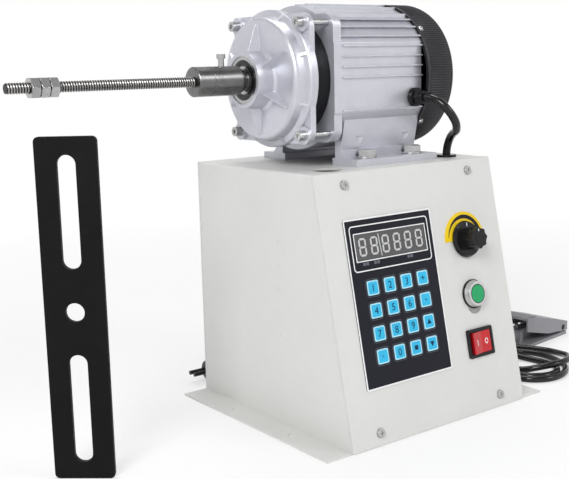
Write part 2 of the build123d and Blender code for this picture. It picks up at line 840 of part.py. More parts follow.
plate_rear_x = flange_rear_x + gearbox_plate_thickness
front_bearing_rear_x = front_bearing_x + motor_bearing_width
motor_seat_radius = motor_bearing_radius + running
with BuildPart() as gearbox_plate:
    motor_ring(0, stator_radius, flange_rear_x, plate_rear_x)
    motor_ring(0, motor_seat_radius + bearing_seat_wall, flange_rear_x, front_bearing_rear_x)
    motor_ring(0, bearing_stop_radius, flange_rear_x, front_bearing_x, mode=Mode.SUBTRACT)
    motor_ring(0, motor_seat_radius, front_bearing_x, front_bearing_rear_x, mode=Mode.SUBTRACT)
save(gearbox_plate, "gearbox_plate")

foot_bottom = box_height - axis_z
foot_top = foot_bottom + foot_thickness
with BuildPart() as motor_housing:
    with BuildSketch(across(housing_front_x)):
        Circle(housing_radius)
        Rectangle(2 * housing_half_width, 2 * housing_radius, mode=Mode.INTERSECT)
    extrude(amount=housing_rear_x - housing_front_x)
    with BuildSketch(across(housing_front_x)):
        RectangleRounded(flange_square, flange_square, flange_corner)
    extrude(amount=housing_frame)
    with BuildSketch(across(housing_frame_rear_x)):
        with Locations(*[(0, height) for height in side_fin_heights]):
            Rectangle(3 * housing_radius, fin_thickness)
        with Locations(*[(offset, housing_radius) for offset in top_fin_offsets]):
            Rectangle(fin_thickness, housing_radius)
        Circle(housing_radius + fin_height, mode=Mode.INTERSECT)
        Rectangle(2 * (housing_half_width + fin_height), 3 * housing_radius, mode=Mode.INTERSECT)
    extrude(amount=housing_rear_x - housing_frame_rear_x)
    for side in (-1, 1):
        with BuildSketch(across(foot_front_x)):
            with BuildLine():
                Polyline(
                    (side * leg_outer_top, -leg_top),
                    (side * leg_outer_bottom, foot_top + leg_flare),
                    (side * (leg_outer_bottom + leg_flare), foot_top),
                    (side * (leg_outer_bottom + leg_flare), foot_bottom),
                    (side * leg_inner_bottom, foot_bottom),
                    (side * leg_inner_bottom, -leg_top),
                    close=True,
                )
            make_face()
        extrude(amount=housing_rear_x - foot_front_x)
        with BuildSketch(across(foot_front_x)):
            with Locations((side * (foot_inner + foot_half_width) / 2, (foot_bottom + foot_top) / 2)):
                Rectangle(foot_half_width - foot_inner, foot_thickness)
        extrude(amount=foot_rear_x - foot_front_x)
    motor_ring(0, stator_radius + running, housing_front_x, stator_end_x + running, mode=Mode.SUBTRACT)
    motor_ring(0, housing_bore_radius, stator_end_x, housing_rear_x, mode=Mode.SUBTRACT)
    with BuildSketch(across(housing_front_x)):
        with frame_corners:
            Circle(tie_bolt_radius + slip)
    extrude(amount=housing_frame, mode=Mode.SUBTRACT)
    with BuildSketch(Plane.XY.offset(box_height)):
        with Locations(*foot_bolt_places):
            Circle(foot_bolt_radius + slip)
    extrude(amount=foot_thickness, mode=Mode.SUBTRACT)
    with BuildSketch(Plane.XY.offset(box_height + foot_thickness)):
        with Locations(*foot_bolt_places):
            Circle(foot_washer_radius + slip)
    extrude(amount=2 * foot_washer_radius, mode=Mode.SUBTRACT)
save(motor_housing, "motor_housing")

washer_top = box_height + foot_thickness + foot_washer_thickness
shell_inside_top = box_height - sheet
with BuildPart() as motor_foot_bolts:
    with BuildSketch(Plane.XY.offset(washer_top)):
        with Locations(*foot_bolt_places):
            RegularPolygon(foot_bolt_flats / 2, 6, major_radius=False)
    extrude(amount=foot_bolt_head)
    with BuildSketch(Plane.XY.offset(washer_top)):
        with Locations(*foot_bolt_places):
            Circle(foot_bolt_radius)
    extrude(amount=shell_inside_top - foot_nut_thickness - sheet - washer_top)
    with BuildSketch(Plane.XY.offset(washer_top - running)):
        with Locations(*foot_bolt_places):
            Circle(foot_washer_radius)
            Circle(foot_bolt_radius + running, mode=Mode.SUBTRACT)
    extrude(amount=2 * running - foot_washer_thickness)
    with BuildSketch(Plane.XY.offset(shell_inside_top - running)):
        with Locations(*foot_bolt_places):
            RegularPolygon(foot_bolt_flats / 2, 6, major_radius=False)
            Circle(foot_bolt_radius + running, mode=Mode.SUBTRACT)
    extrude(amount=-foot_nut_thickness)
save(motor_foot_bolts, "motor_foot_bolts")

cover_end_x = housing_rear_x + cover_length
cover_inside_x = cover_end_x - cover_wall - seam
rear_bearing_end_x = rear_bearing_x + motor_bearing_width
with BuildPart() as rear_cover:
    motor_ring(0, cover_radius, housing_rear_x, cover_end_x)
    fillet(rear_cover.edges().sort_by(Axis.X)[-1], radius=cover_corner)
    motor_ring(0, cover_lip_radius, housing_rear_x, housing_rear_x + cover_lip_length)
    motor_ring(0, cover_radius - cover_wall, housing_rear_x, cover_inside_x, mode=Mode.SUBTRACT)
    motor_ring(0, motor_seat_radius + bearing_seat_wall, rear_bearing_x, cover_inside_x)
    motor_ring(0, motor_seat_radius, rear_bearing_x, rear_bearing_end_x, mode=Mode.SUBTRACT)
    motor_ring(0, bearing_stop_radius, rear_bearing_end_x, cover_inside_x, mode=Mode.SUBTRACT)
save(rear_cover, "rear_cover")

with BuildPart() as rear_cover_ring:
    motor_ring(0, end_ring_radius, cover_end_x, cover_end_x + end_ring_length)
    fillet(rear_cover_ring.edges().sort_by(Axis.X)[-1], radius=end_ring_corner)
save(rear_cover_ring, "rear_cover_ring")

with BuildPart() as bearings:
    for bore, outer, start_x, width in (
        (shaft_radius, output_bearing_radius, bearing_front_x, output_bearing_width),
        (motor_bearing_bore, motor_bearing_radius, front_bearing_x, motor_bearing_width),
        (motor_bearing_bore, motor_bearing_radius, rear_bearing_x, motor_bearing_width),
    ):
        seal_inner = (bore + outer - seal_width) / 2
        motor_ring(bore + running, outer, start_x, start_x + width)
        motor_ring(seal_inner, seal_inner + seal_width, start_x, start_x + seal_recess, mode=Mode.SUBTRACT)
save(bearings, "bearings")

# ---------------------------------------------------------------- rotor, stator and planetary stage
with BuildPart() as stator:
    with BuildSketch(across(magnet_front_x - winding_width)):
        with PolarLocations((stator_bore_radius + stator_radius - stator_rim) / 2 + sheet, stator_tooth_count):
            Rectangle(stator_radius - stator_rim - stator_bore_radius - 3 * sheet, stator_tooth_width + 2 * winding_width)
    extrude(amount=magnet_rear_x - magnet_front_x + 2 * winding_width)
    with BuildSketch(across(magnet_front_x - slip)):
        with PolarLocations(stator_bore_radius, stator_tooth_count):
            Rectangle(stator_radius, stator_tooth_width + 2 * slip)
    extrude(amount=magnet_rear_x - magnet_front_x + 2 * slip, mode=Mode.SUBTRACT)
    motor_ring(stator_radius - stator_rim, stator_radius, plate_rear_x, stator_end_x)
    with BuildSketch(across(magnet_front_x)):
        with PolarLocations((stator_bore_radius + stator_radius) / 2 - 1, stator_tooth_count):
            Rectangle(stator_radius - stator_bore_radius - 6, stator_tooth_width)
        Circle(stator_bore_radius + stator_shoe)
        Circle(stator_bore_radius, mode=Mode.SUBTRACT)
    extrude(amount=magnet_rear_x - magnet_front_x)
save(stator, "stator")


def gear_outline(teeth, tip, root, thinning, turn=0.0, centre=(0.0, 0.0)):
    """Closed outline of an involute gear, with a tooth centred on the angle turn."""
    pitch = gear_module * teeth / 2
    base = pitch * math.cos(math.radians(pressure_angle))

    def roll(radius):
        lean = math.acos(min(1.0, base / radius))
        return math.tan(lean) - lean

    half_tooth = math.pi / (2 * teeth) - thinning / (2 * pitch) + roll(pitch)
    start = max(base, root)
    flank = [start + (tip - start) * step / flank_steps for step in range(flank_steps + 1)]
    corners = [(root, half_tooth - roll(start))] * (root < base) + [(r, half_tooth - roll(r)) for r in flank]
    tooth = [(r, -angle) for r, angle in corners] + [(r, angle) for r, angle in reversed(corners)]
    return [
        (
            centre[0] + r * math.cos(math.radians(turn) + 2 * math.pi * count / teeth + angle),
            centre[1] + r * math.sin(math.radians(turn) + 2 * math.pi * count / teeth + angle),
        )
        for count in range(teeth)
        for r, angle in tooth
    ]


addendum = addendum_share * gear_module
dedendum = dedendum_share * gear_module
sun_pitch = gear_module * sun_teeth / 2
planet_pitch = gear_module * planet_teeth / 2
ring_pitch = gear_module * ring_teeth / 2
planet_orbit = sun_pitch + planet_pitch
gear_rear_x = gear_front_x + gear_width
orbit_places = PolarLocations(planet_orbit, planet_count)

with BuildPart() as ring_gear:
    with BuildSketch(across(gear_front_x - slip)):
        Circle(ring_radius - running)
        with BuildLine():
            Polyline(
                *gear_outline(ring_teeth, ring_pitch + dedendum, ring_pitch - addendum, -tooth_backlash),
                close=True,
            )
        make_face(mode=Mode.SUBTRACT)
    extrude(amount=gear_width + slip)
save(ring_gear, "ring_gear")

for number in range(planet_count):
    place = 360 * number / planet_count
    centre = (planet_orbit * math.cos(math.radians(place)), planet_orbit * math.sin(math.radians(place)))
    with BuildPart() as planet_gear:
        with BuildSketch(across(gear_front_x)):
            with BuildLine():
                Polyline(
                    *gear_outline(
                        planet_teeth,
                        planet_pitch + addendum,
                        planet_pitch - dedendum,
                        tooth_backlash,
                        place,
                        centre,
                    ),
                    close=True,
                )
            make_face()
            with Locations(centre):
                Circle(planet_pin_radius + running, mode=Mode.SUBTRACT)
        extrude(amount=gear_width)
    save(planet_gear, f"planet_gear_{number + 1}")

with BuildPart() as rotor:
    with BuildSketch(across(gear_front_x)):
        with BuildLine():
            Polyline(
                *gear_outline(sun_teeth, sun_pitch + addendum, sun_pitch - dedendum, tooth_backlash),
                close=True,
            )
        make_face()
    extrude(amount=gear_width)
    motor_ring(0, sun_pitch - dedendum, gear_rear_x, rear_bearing_end_x - seam)
    motor_ring(0, motor_bearing_bore, gear_rear_x, front_bearing_rear_x)
    motor_ring(0, motor_bearing_bore, rear_bearing_x - motor_bearing_width, rear_bearing_end_x - seam)
    motor_ring(0, magnet_radius, magnet_front_x, magnet_rear_x)
save(rotor, "rotor")

with BuildPart() as output_carrier:
    motor_ring(0, planet_orbit + carrier_margin, carrier_rear_x - carrier_thickness, carrier_rear_x)
    with BuildSketch(across(carrier_rear_x)):
        with orbit_places:
            Circle(planet_pin_radius)
    extrude(amount=gear_rear_x - carrier_rear_x)
    motor_ring(0, shaft_radius, case_hub_x, carrier_rear_x - carrier_thickness)
    motor_ring(0, nose_radius, nose_x, case_hub_x)
save(output_carrier, "output_carrier")

# ---------------------------------------------------------------- spindle
screw_places = (coupler_bolt_x, coupler_grub_x)
with BuildPart() as spindle_coupler:
    motor_ring(0, coupler_radius, coupler_front_x, coupler_rear_x - coupler_step_length)
    chamfer(spindle_coupler.edges().filter_by(GeomType.CIRCLE), length=rod_chamfer)
    motor_ring(0, coupler_step_radius, coupler_rear_x - coupler_step_length, coupler_rear_x)
    motor_ring(0, nose_radius + running, nose_x - seam, coupler_rear_x, mode=Mode.SUBTRACT)
    motor_ring(0, rod_radius + running, coupler_front_x, nose_x - seam, mode=Mode.SUBTRACT)
    motor_ring(
        coupler_radius - coupler_scribe,
        coupler_radius + coupler_scribe,
        coupler_scribe_x,
        coupler_scribe_x + 2 * coupler_scribe,
        mode=Mode.SUBTRACT,
    )
    with BuildSketch(Plane.XY.offset(axis_z)):
        with Locations(*[(x, axis_y) for x in screw_places]):
            Circle(coupler_bolt_radius + running)
    extrude(amount=coupler_radius + sheet, mode=Mode.SUBTRACT)
save(spindle_coupler, "spindle_coupler")

screw_seat_z = axis_z + nose_radius + running
coupler_top_z = axis_z + coupler_radius
with BuildPart() as coupler_screws:
    with BuildSketch(Plane.XY.offset(screw_seat_z)):
        with Locations((coupler_bolt_x, axis_y)):
            Circle(coupler_bolt_radius)
    extrude(amount=coupler_top_z + coupler_bolt_height - screw_seat_z)
    with BuildSketch(Plane.XY.offset(coupler_top_z + coupler_bolt_height)):
        with Locations((coupler_bolt_x, axis_y)):
            Circle(coupler_bolt_head_radius)
    extrude(amount=-coupler_bolt_head_radius)
    with BuildSketch(Plane.XY.offset(screw_seat_z)):
        with Locations((coupler_grub_x, axis_y)):
            Circle(coupler_bolt_radius)
    extrude(amount=coupler_radius - nose_radius - 2 * coupler_scribe)
    with BuildSketch(Plane.XY.offset(screw_seat_z + coupler_radius - nose_radius - 2 * coupler_scribe)):
        with Locations((coupler_grub_x, axis_y)):
            RegularPolygon(coupler_bolt_radius / 2, 6)
    extrude(amount=-coupler_bolt_radius, mode=Mode.SUBTRACT)
save(coupler_screws, "coupler_screws")

rod_step_x = outer_nut_x - nut_gap
with BuildPart() as threaded_rod:
    motor_ring(0, rod_tip_radius, rod_end_x, rod_step_x)
    chamfer(threaded_rod.edges().sort_by(Axis.X)[0], length=rod_chamfer)
    motor_ring(0, rod_radius, rod_step_x, nose_x - 2 * seam)
save(threaded_rod, "threaded_rod")


def hex_nuts(starts):
    """Chamfered hexagon nuts on the rod, each from its own start, in the current part."""
    corner = nut_flats / math.sqrt(3)
    with BuildSketch(across(starts[0])) as hexagon:
        RegularPolygon(nut_flats / 2, 6, major_radius=False)
        Circle(rod_radius + running, mode=Mode.SUBTRACT)
    extrude(hexagon.sketch, amount=starts[-1] + nut_thickness - starts[0])
    with BuildSketch(turning_plane) as outline:
        for start in starts:
            with BuildLine():
                Polyline(
                    (start, 0),
                    (start, nut_flats / 2),
                    (start + rod_chamfer, corner + running),
                    (start + nut_thickness - rod_chamfer, corner + running),
                    (start + nut_thickness, nut_flats / 2),
                    (start + nut_thickness, 0),
                    close=True,
                )
            make_face()
    revolve(outline.sketch, axis=motor_axis, mode=Mode.INTERSECT)


middle_nut_x = outer_nut_x + nut_thickness + nut_gap
with BuildPart() as outer_nut:
    hex_nuts([outer_nut_x])
save(outer_nut, "outer_nut")

with BuildPart() as lock_nuts:
    hex_nuts([middle_nut_x, middle_nut_x + nut_thickness + nut_gap])
save(lock_nuts, "lock_nuts")

# ---------------------------------------------------------------- clamp plate
plate_lean = math.radians(plate_turn)
plate_plane = Plane(
    origin=(plate_x, plate_y, plate_length / 2),
    x_dir=(math.cos(plate_lean), math.sin(plate_lean), 0),
    z_dir=(math.sin(plate_lean), -math.cos(plate_lean), 0),
)
with BuildPart() as slotted_plate:
    with BuildSketch(plate_plane):
        RectangleRounded(plate_width, plate_length, plate_corner)
        Circle(plate_hole_radius, mode=Mode.SUBTRACT)
        with GridLocations(0, 2 * plate_slot_offset, 1, 2):
            SlotOverall(plate_slot_length, plate_slot_width, rotation=90, mode=Mode.SUBTRACT)
    extrude(amount=plate_thickness / 2, both=True)
    chamfer(slotted_plate.faces().sort_by(Axis(plate_plane.origin, plate_plane.z_dir))[-1].edges(), length=seam)
save(slotted_plate, "slotted_plate")

# ---------------------------------------------------------------- foot pedal
pedal_lean = math.radians(pedal_turn)
pedal_plane = Plane(
    origin=(pedal_x, pedal_y, 0),
    x_dir=(math.cos(pedal_lean), math.sin(pedal_lean), 0),
    z_dir=(0, 0, 1),
)
pedal_side = Plane(origin=pedal_plane.origin, x_dir=pedal_plane.x_dir, z_dir=-pedal_plane.y_dir)
toe = -pedal_length / 2
heel = pedal_length / 2
knee = toe + pedal_knee
pin_x = heel - pedal_pin_inset
exit_plane = Plane(
    origin=pedal_plane.from_local_coords((toe - pedal_relief_out, pedal_exit_across, pedal_exit_z)),
    x_dir=pedal_plane.y_dir,
    z_dir=pedal_plane.x_dir,
)
lug_middle = pedal_width / 2 - pedal_wall - seam - pedal_lug_width / 2
with BuildPart() as pedal_base:
    with BuildSketch(pedal_plane):
        RectangleRounded(pedal_length, pedal_width, pedal_corner)
    extrude(amount=pedal_plate)
    with BuildSketch(pedal_plane.offset(pedal_plate)):
        with Locations((pin_x, -lug_middle), (pin_x, lug_middle)):
            Rectangle(2 * pedal_lug_width, pedal_lug_width)
    extrude(amount=pedal_pin_z + pedal_pin_radius + seam - pedal_plate)
    with BuildSketch(pedal_side):
        with Locations((pin_x, pedal_pin_z)):
            Circle(pedal_pin_radius)
    extrude(amount=pedal_width / 2 - seam, both=True)
    with BuildSketch(pedal_plane.offset(pedal_plate)):
        with Locations((knee + pedal_switch_width / 2, 0)):
            Rectangle(pedal_switch_length, pedal_switch_width)
    extrude(amount=pedal_switch_height)
    with BuildSketch(pedal_plane.offset(pedal_plate + pedal_switch_height)):
        with Locations((knee, 0)):
            Circle(pedal_pin_radius)
    extrude(amount=pedal_switch_height / 2)
    with BuildSketch(pedal_plane.offset(pedal_plate)):
        with Locations((toe + relief_radius / 2 + pedal_wall, pedal_exit_across)):
            Rectangle(relief_radius, 2 * relief_radius + pedal_wall)
    extrude(amount=pedal_exit_z + relief_radius - pedal_plate)
    with BuildSketch(exit_plane):
        Circle(relief_tip_radius)
    with BuildSketch(exit_plane.offset(pedal_relief_out + pedal_wall + relief_radius / 2)):
        Circle(relief_radius)
    loft()
save(pedal_base, "pedal_base")

treadle_outline = [
    (toe, pedal_toe_bottom),
    (toe, pedal_toe_top),
    (knee, pedal_knee_top),
    (heel, pedal_heel_top),
    (heel, pedal_heel_bottom),
    (pedal_wall, 2 * pedal_heel_bottom - pedal_wall),
]
with BuildPart() as pedal_treadle:
    with BuildSketch(pedal_side):
        with BuildLine():
            Polyline(*treadle_outline, close=True)
        make_face()
    extrude(amount=pedal_width / 2, both=True)
    with BuildSketch(pedal_side):
        with BuildLine():
            Polyline(
                (toe - pedal_wall, 0),
                (toe - pedal_wall, pedal_toe_top - pedal_wall),
                (knee, pedal_knee_top - pedal_wall),
                (heel - pedal_wall, pedal_heel_top - pedal_wall),
                (heel - pedal_wall, 0),
                close=True,
            )
        make_face()
    extrude(amount=pedal_width / 2 - pedal_wall, both=True, mode=Mode.SUBTRACT)
    with BuildSketch(pedal_side):
        for count in range(pedal_rib_count):
            share = (count + 0.5) / pedal_rib_count
            with Locations((toe + share * pedal_knee, pedal_toe_top + share * (pedal_knee_top - pedal_toe_top))):
                Rectangle(pedal_rib_width, 2 * pedal_rib_height)
    extrude(amount=pedal_width / 2 - pedal_wall, both=True)
    with BuildSketch(pedal_side):
        with Locations((pin_x, pedal_pin_z)):
            Circle(pedal_pin_radius + running)
    extrude(amount=pedal_width / 2, both=True, mode=Mode.SUBTRACT)
save(pedal_treadle, "pedal_treadle")

# ---------------------------------------------------------------- cable fittings and cords
gland_plane = Plane(origin=(gland_x, axis_y - housing_half_width, gland_z), x_dir=(1, 0, 0), z_dir=(0, -1, 0))
cable_bore = motor_cable_diameter / 2 + running
with BuildPart() as cable_fittings:
    with BuildSketch(gland_plane):
        Circle(gland_radius)
    extrude(amount=gland_length / 3)
    with BuildSketch(gland_plane.offset(gland_length / 3)):
        RegularPolygon(gland_radius - seal_recess, 6, major_radius=True)
    extrude(amount=gland_length / 3)
    with BuildSketch(gland_plane.offset(2 * gland_length / 3)):
        Circle(gland_radius - 2 * seal_recess)
    with BuildSketch(gland_plane.offset(gland_length)):
        Circle(gland_nose_radius)
    loft()
    with BuildSketch(gland_plane.offset(gland_length / 3)):
        Circle(cable_bore)
    extrude(amount=gland_length, mode=Mode.SUBTRACT)
    for start, radius, height in (
        (box_height, grommet_radius + grommet_lip, grommet_lip),
        (shell_inside_top, grommet_radius - running, sheet),
        (shell_inside_top - grommet_lip, grommet_radius + grommet_lip, grommet_lip),
    ):
        with BuildSketch(Plane.XY.offset(start)):
            with Locations((grommet_x, grommet_y)):
                Circle(radius)
                Circle(cable_bore, mode=Mode.SUBTRACT)
        extrude(amount=height)
    for x, z in cord_exits:
        turn_profile(
            [
                (0, -2 * sheet),
                (relief_radius, -2 * sheet),
                (relief_radius, -sheet),
                (relief_neck_radius, -sheet),
                (relief_neck_radius, 0),
                (relief_radius, 0),
                (relief_tip_radius, relief_length),
                (0, relief_length),
            ],
            Plane(origin=(x, rear_y, z), x_dir=(1, 0, 0), z_dir=(0, 0, 1)),
            Axis((x, rear_y, z), (0, 1, 0)),
        )
save(cable_fittings, "cable_fittings")


def bend_radii(points):
    """The largest arcs that the runs on each side of every corner leave room for."""
    radii = []
    for before, corner, after in zip(points, points[1:], points[2:]):
        run_in = Vector(*corner) - Vector(*before)
        run_out = Vector(*after) - Vector(*corner)
        half_turn = math.radians(run_in.get_angle(run_out)) / 2
        radii.append(bend_share * min(run_in.length, run_out.length) / math.tan(half_turn))
    return radii


def report_cord(name, cord, length, diameter, radii):
    """Prints a cord's length, its tightest bend and how its volume compares with its section."""
    share = cord.part.volume / (math.pi * diameter**2 / 4 * length)
    print(f"{name}: length {length:.1f}, tightest bend {min(radii):.1f}, volume share {share:.4f}")


def lay_cord(name, points, diameter):
    """A round cord along straight runs and tangent arcs, as its own piece."""
    radii = bend_radii(points)
    with BuildPart() as cord:
        with BuildLine() as route:
            FilletPolyline(*points, radius=radii)
        with BuildSketch(Plane(origin=route.wire() @ 0, z_dir=route.wire() % 0)):
            Circle(diameter / 2)
        sweep(path=route.wire())
    report_cord(name, cord, route.wire().length, diameter, radii)
    save(cord, name)


lay_cord(
    "motor_cable",
    [
        (gland_x, gland_plane.origin.Y - 2 * gland_length / 3, gland_z),
        (gland_x, -60, gland_z),
        (50, -71.5, 315),
        (56, -78, 305),
        (64, -78, 295),
        (72.5, -71, 286.5),
        (80.5, -59, 283),
        (87, -47.5, 277),
        (grommet_x, grommet_y, 265),
        (grommet_x, grommet_y, 240),
        (86, -33, 208),
        (76, -14, 172),
        (64, 6, 132),
        (60, 14, 94),
        (60, 14, driver_top),
    ],
    motor_cable_diameter,
)

pedal_exit = exit_plane.origin
pedal_lead = exit_plane.offset(-2 * cord_diameter).origin
lay_cord(
    "pedal_cord",
    [
        (pedal_exit.X, pedal_exit.Y, pedal_exit.Z),
        (pedal_lead.X, pedal_lead.Y, pedal_lead.Z),
        (230.5, 1.5, 13),
        (222.5, -11.5, 12),
        (221.5, -29, 5.5),
        (228, -46.5, cord_rest),
        (230, -62, cord_rest),
        (230, -78, cord_rest),
        (222, -91.5, cord_rest),
        (208.5, -99.5, cord_rest),
        (192.5, -99.5, cord_rest),
        (179, -91.5, cord_rest),
        (171, -78, cord_rest),
        (169.5, -50, cord_rest),
        (172.5, -4, cord_rest),
        (171, 40, cord_rest),
        (173, 84, cord_rest),
        (176, 126, cord_rest),
        (169, 156, cord_rest),
        (152.5, 186, cord_rest),
        (126.5, 199.5, 9),
        (103.5, 192, 22),
        (pedal_cord_exit_x, 168, cord_exit_z),
        (pedal_cord_exit_x, rear_y + relief_length, cord_exit_z),
    ],
    cord_diameter,
)

lay_cord(
    "mains_cord",
    [
        (mains_exit_x, rear_y + relief_length, cord_exit_z),
        (mains_exit_x, 168, cord_exit_z),
        (57, 185, 28),
        (73, 201, 18),
        (99, 211, 8),
        (130, 210, cord_rest),
        (160, 198, cord_rest),
        (184, 176, cord_rest),
        (196, 146, cord_rest),
        (198, 111, cord_rest),
        (203, 77, cord_rest),
        (216, 48, cord_rest),
        (234, 25, cord_rest),
        (250, 3, cord_rest),
        (262, -17, cord_rest),
        (272, -37, cord_rest),
        (270, -59, 5),
        (259, -77, 9),
        (244, -90.5, 12),
        (227, -96.5, 12.5),
        (209, -94, 12),
        (195, -84, 9),
        (185, -70, 4.5),
        (178.5, -48.5, cord_rest),
        (183, -25.5, cord_rest),
        (195, -11, cord_rest),
        (212.5, -4.5, cord_rest),
        (230.5, -7.5, cord_rest),
        (245, -19, cord_rest),
        (252.5, -36.5, cord_rest),
        (252, -56, cord_rest),
        (246, -76, cord_rest),
        (234, -94, cord_rest),
        (214, -107, cord_rest),
        (191.5, -110, cord_rest),
        (173.5, -102.5, cord_rest),
        (161.5, -87, cord_rest),
        (159, -62, cord_rest),
        (162, -20, cord_rest),
        (160.5, 28, cord_rest),
        (163, 76, cord_rest),
        (164, 116, cord_rest),
        (158, 141, cord_rest),
        (138, 156, cord_rest),
        (108, 158, cord_rest),
        (70, 154, cord_rest),
        (32, coil_start_y, cord_rest),
        (coil_start_x + cord_diameter, coil_start_y, cord_rest),
    ],
    cord_diameter,
)

# The put-away length winds inwards on the floor, climbs one layer where it turns back, and winds out on top.
layer = cord_diameter + coil_gap
coil_centre = Vector(coil_start_x, coil_start_y + coil_radius, 0)
quarters_in = round(4 * coil_turns_in)


def coil_point(quarters):
    """A point on the coil's centre line, a number of quarter turns after its start."""
    inwards = min(quarters, 2 * quarters_in - quarters)
    radius = coil_radius - layer * inwards / 4
    climb = min(1.0, max(0.0, (quarters - quarters_in + 1) / 2))
    angle = -math.pi / 2 - math.pi / 2 * quarters
    return coil_centre + Vector(
        radius * math.cos(angle),
        radius * math.sin(angle),
        cord_rest + layer * climb * climb * (3 - 2 * climb),
    )


def coil_heading(quarters):
    """The coil's direction there; both ends run straight along the back of the console."""
    if quarters in (0, 2 * quarters_in):
        return Vector(-1, 0, 0)
    return (coil_point(quarters + 0.01) - coil_point(quarters - 0.01)).normalized()


tail_end = coil_point(2 * quarters_in) + Vector(-coil_tail, 0, 0)
with BuildPart() as mains_coil:
    with BuildLine() as coil_route:
        Line(coil_point(0) + Vector(cord_diameter, 0, 0), coil_point(0))
        for quarter in range(2 * quarters_in):
            start, end = coil_point(quarter), coil_point(quarter + 1)
            leaves, arrives = coil_heading(quarter), coil_heading(quarter + 1)
            chord = end - start
            spread = 2 * (1 - leaves.dot(arrives))
            along = chord.dot(leaves + arrives)
            reach = (math.sqrt(along**2 + spread * chord.dot(chord)) - along) / spread
            joint = (start + end + (leaves - arrives) * reach) / 2
            TangentArc(start, joint, tangent=leaves)
            TangentArc(joint, end, tangent=end - arrives * reach - start - leaves * reach)
        Line(coil_point(2 * quarters_in), tail_end)
    with BuildSketch(Plane(origin=coil_route.wire() @ 0, z_dir=(-1, 0, 0))):
        Circle(cord_diameter / 2)
    sweep(path=coil_route.wire())
coil_length = coil_route.wire().length
coil_samples = [coil_route.wire() @ (step / coil_sample_count) for step in range(coil_sample_count + 1)]
near_samples = round(3 * cord_diameter / coil_length * coil_sample_count)
coil_self_gap = min(
    (first - second).length - cord_diameter
    for place, first in enumerate(coil_samples)
    for second in coil_samples[place + near_samples :]
)
report_cord("mains_coil", mains_coil, coil_length, cord_diameter, [coil_radius - layer * coil_turns_in])
print(f"mains_coil: least gap to itself {coil_self_gap:.2f}")
save(mains_coil, "mains_coil")

plug_axis = Axis(tail_end, (-1, 0, 0))
plug_neck = relief_length - cord_diameter
with BuildPart() as mains_plug:
    turn_profile(
        [
            (0, 0),
            (0, relief_tip_radius),
            (plug_neck, plug_neck_radius),
            (plug_neck + plug_neck_radius, plug_radius),
            (plug_length, plug_radius),
            (plug_length, 0),
        ],
        Plane(origin=tail_end, x_dir=(-1, 0, 0), z_dir=(0, 0, 1)),
        plug_axis,
    )
    fillet(mains_plug.faces().sort_by(Axis.X)[0].edges(), radius=sheet)
    with BuildSketch(Plane(origin=tail_end + Vector(-plug_length, 0, 0), x_dir=(0, 1, 0), z_dir=(-1, 0, 0))):
        with GridLocations(plug_pin_spacing / 2, 0, 2, 1):
            Circle(plug_pin_radius)
    extrude(amount=plug_pin_length)
save(mains_plug, "mains_plug")
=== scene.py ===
"""Looks of the wire coil winding machine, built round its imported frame.

The scene is in metres in the machine's own frame: +X to the operator's right, +Y to the back, +Z up, with the
origin on the floor under the middle of the console. The classes hold their sizes in millimetres.
"""

import logging
import math
from dataclasses import dataclass, field
from enum import Enum

import bmesh
import bpy
import numpy as np
from mathutils import Matrix, Vector


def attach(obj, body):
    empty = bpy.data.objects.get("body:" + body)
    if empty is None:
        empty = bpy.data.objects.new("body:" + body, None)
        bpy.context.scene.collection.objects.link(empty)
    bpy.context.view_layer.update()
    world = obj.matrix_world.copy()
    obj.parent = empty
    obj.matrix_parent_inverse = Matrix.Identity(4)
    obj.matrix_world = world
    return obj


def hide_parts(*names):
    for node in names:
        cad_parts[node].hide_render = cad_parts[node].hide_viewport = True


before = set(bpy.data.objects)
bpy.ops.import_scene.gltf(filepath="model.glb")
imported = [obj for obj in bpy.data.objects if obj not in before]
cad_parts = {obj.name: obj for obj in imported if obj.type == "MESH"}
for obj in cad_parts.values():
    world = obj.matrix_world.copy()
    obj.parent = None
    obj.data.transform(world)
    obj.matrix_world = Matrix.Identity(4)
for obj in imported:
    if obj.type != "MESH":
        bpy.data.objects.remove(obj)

LOG = logging.getLogger("coil_winder")
MM = 0.001
ROOT_BODY = "console"
MOTOR_AXIS = (30.0, 343.0)

Colour = tuple[float, float, float]
Place = tuple[float, float, float]
Shape = tuple[np.ndarray, list]


# ---------------------------------------------------------------- meshes


def show_object(name: str, data: bpy.types.ID, finish: "Finish", body: str) -> bpy.types.Object:
    """Links new object data to the scene, dresses it and lets it ride on a body.

    Args:
        name: The piece's name.
        data: Its mesh or curve.
        finish: What it is finished with.
        body: The body that carries it.

    Returns:
        The linked object.
    """
    piece = bpy.data.objects.new(name, data)
    bpy.context.scene.collection.objects.link(piece)
    data.materials.append(FINISHES.material(finish))
    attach(piece, body)
    LOG.info("%s rides on %s, finished in %s, %s", name, body, finish.name, finish.kind.value)
    return piece


def closed_mesh(name: str, shape: Shape, smooth_angle: float = 35.0) -> bpy.types.Mesh:
    """Makes a mesh with its seams merged and its faces pointing outwards.

    Args:
        name: The mesh's name.
        shape: Its points in metres, one row each, and the corner indices of each face.
        smooth_angle: Edges sharper than this many degrees stay sharp.

    Returns:
        The finished mesh.
    """
    mesh = bpy.data.meshes.new(name)
    mesh.from_pydata(shape[0].tolist(), [], shape[1])
    work = bmesh.new()
    work.from_mesh(mesh)
    bmesh.ops.remove_doubles(work, verts=work.verts, dist=1e-7)
    bmesh.ops.recalc_face_normals(work, faces=work.faces)
    work.to_mesh(mesh)
    work.free()
    mesh.polygons.foreach_set("use_smooth", np.ones(len(mesh.polygons), dtype=bool))
    mesh.set_sharp_from_angle(angle=math.radians(smooth_angle))
    return mesh


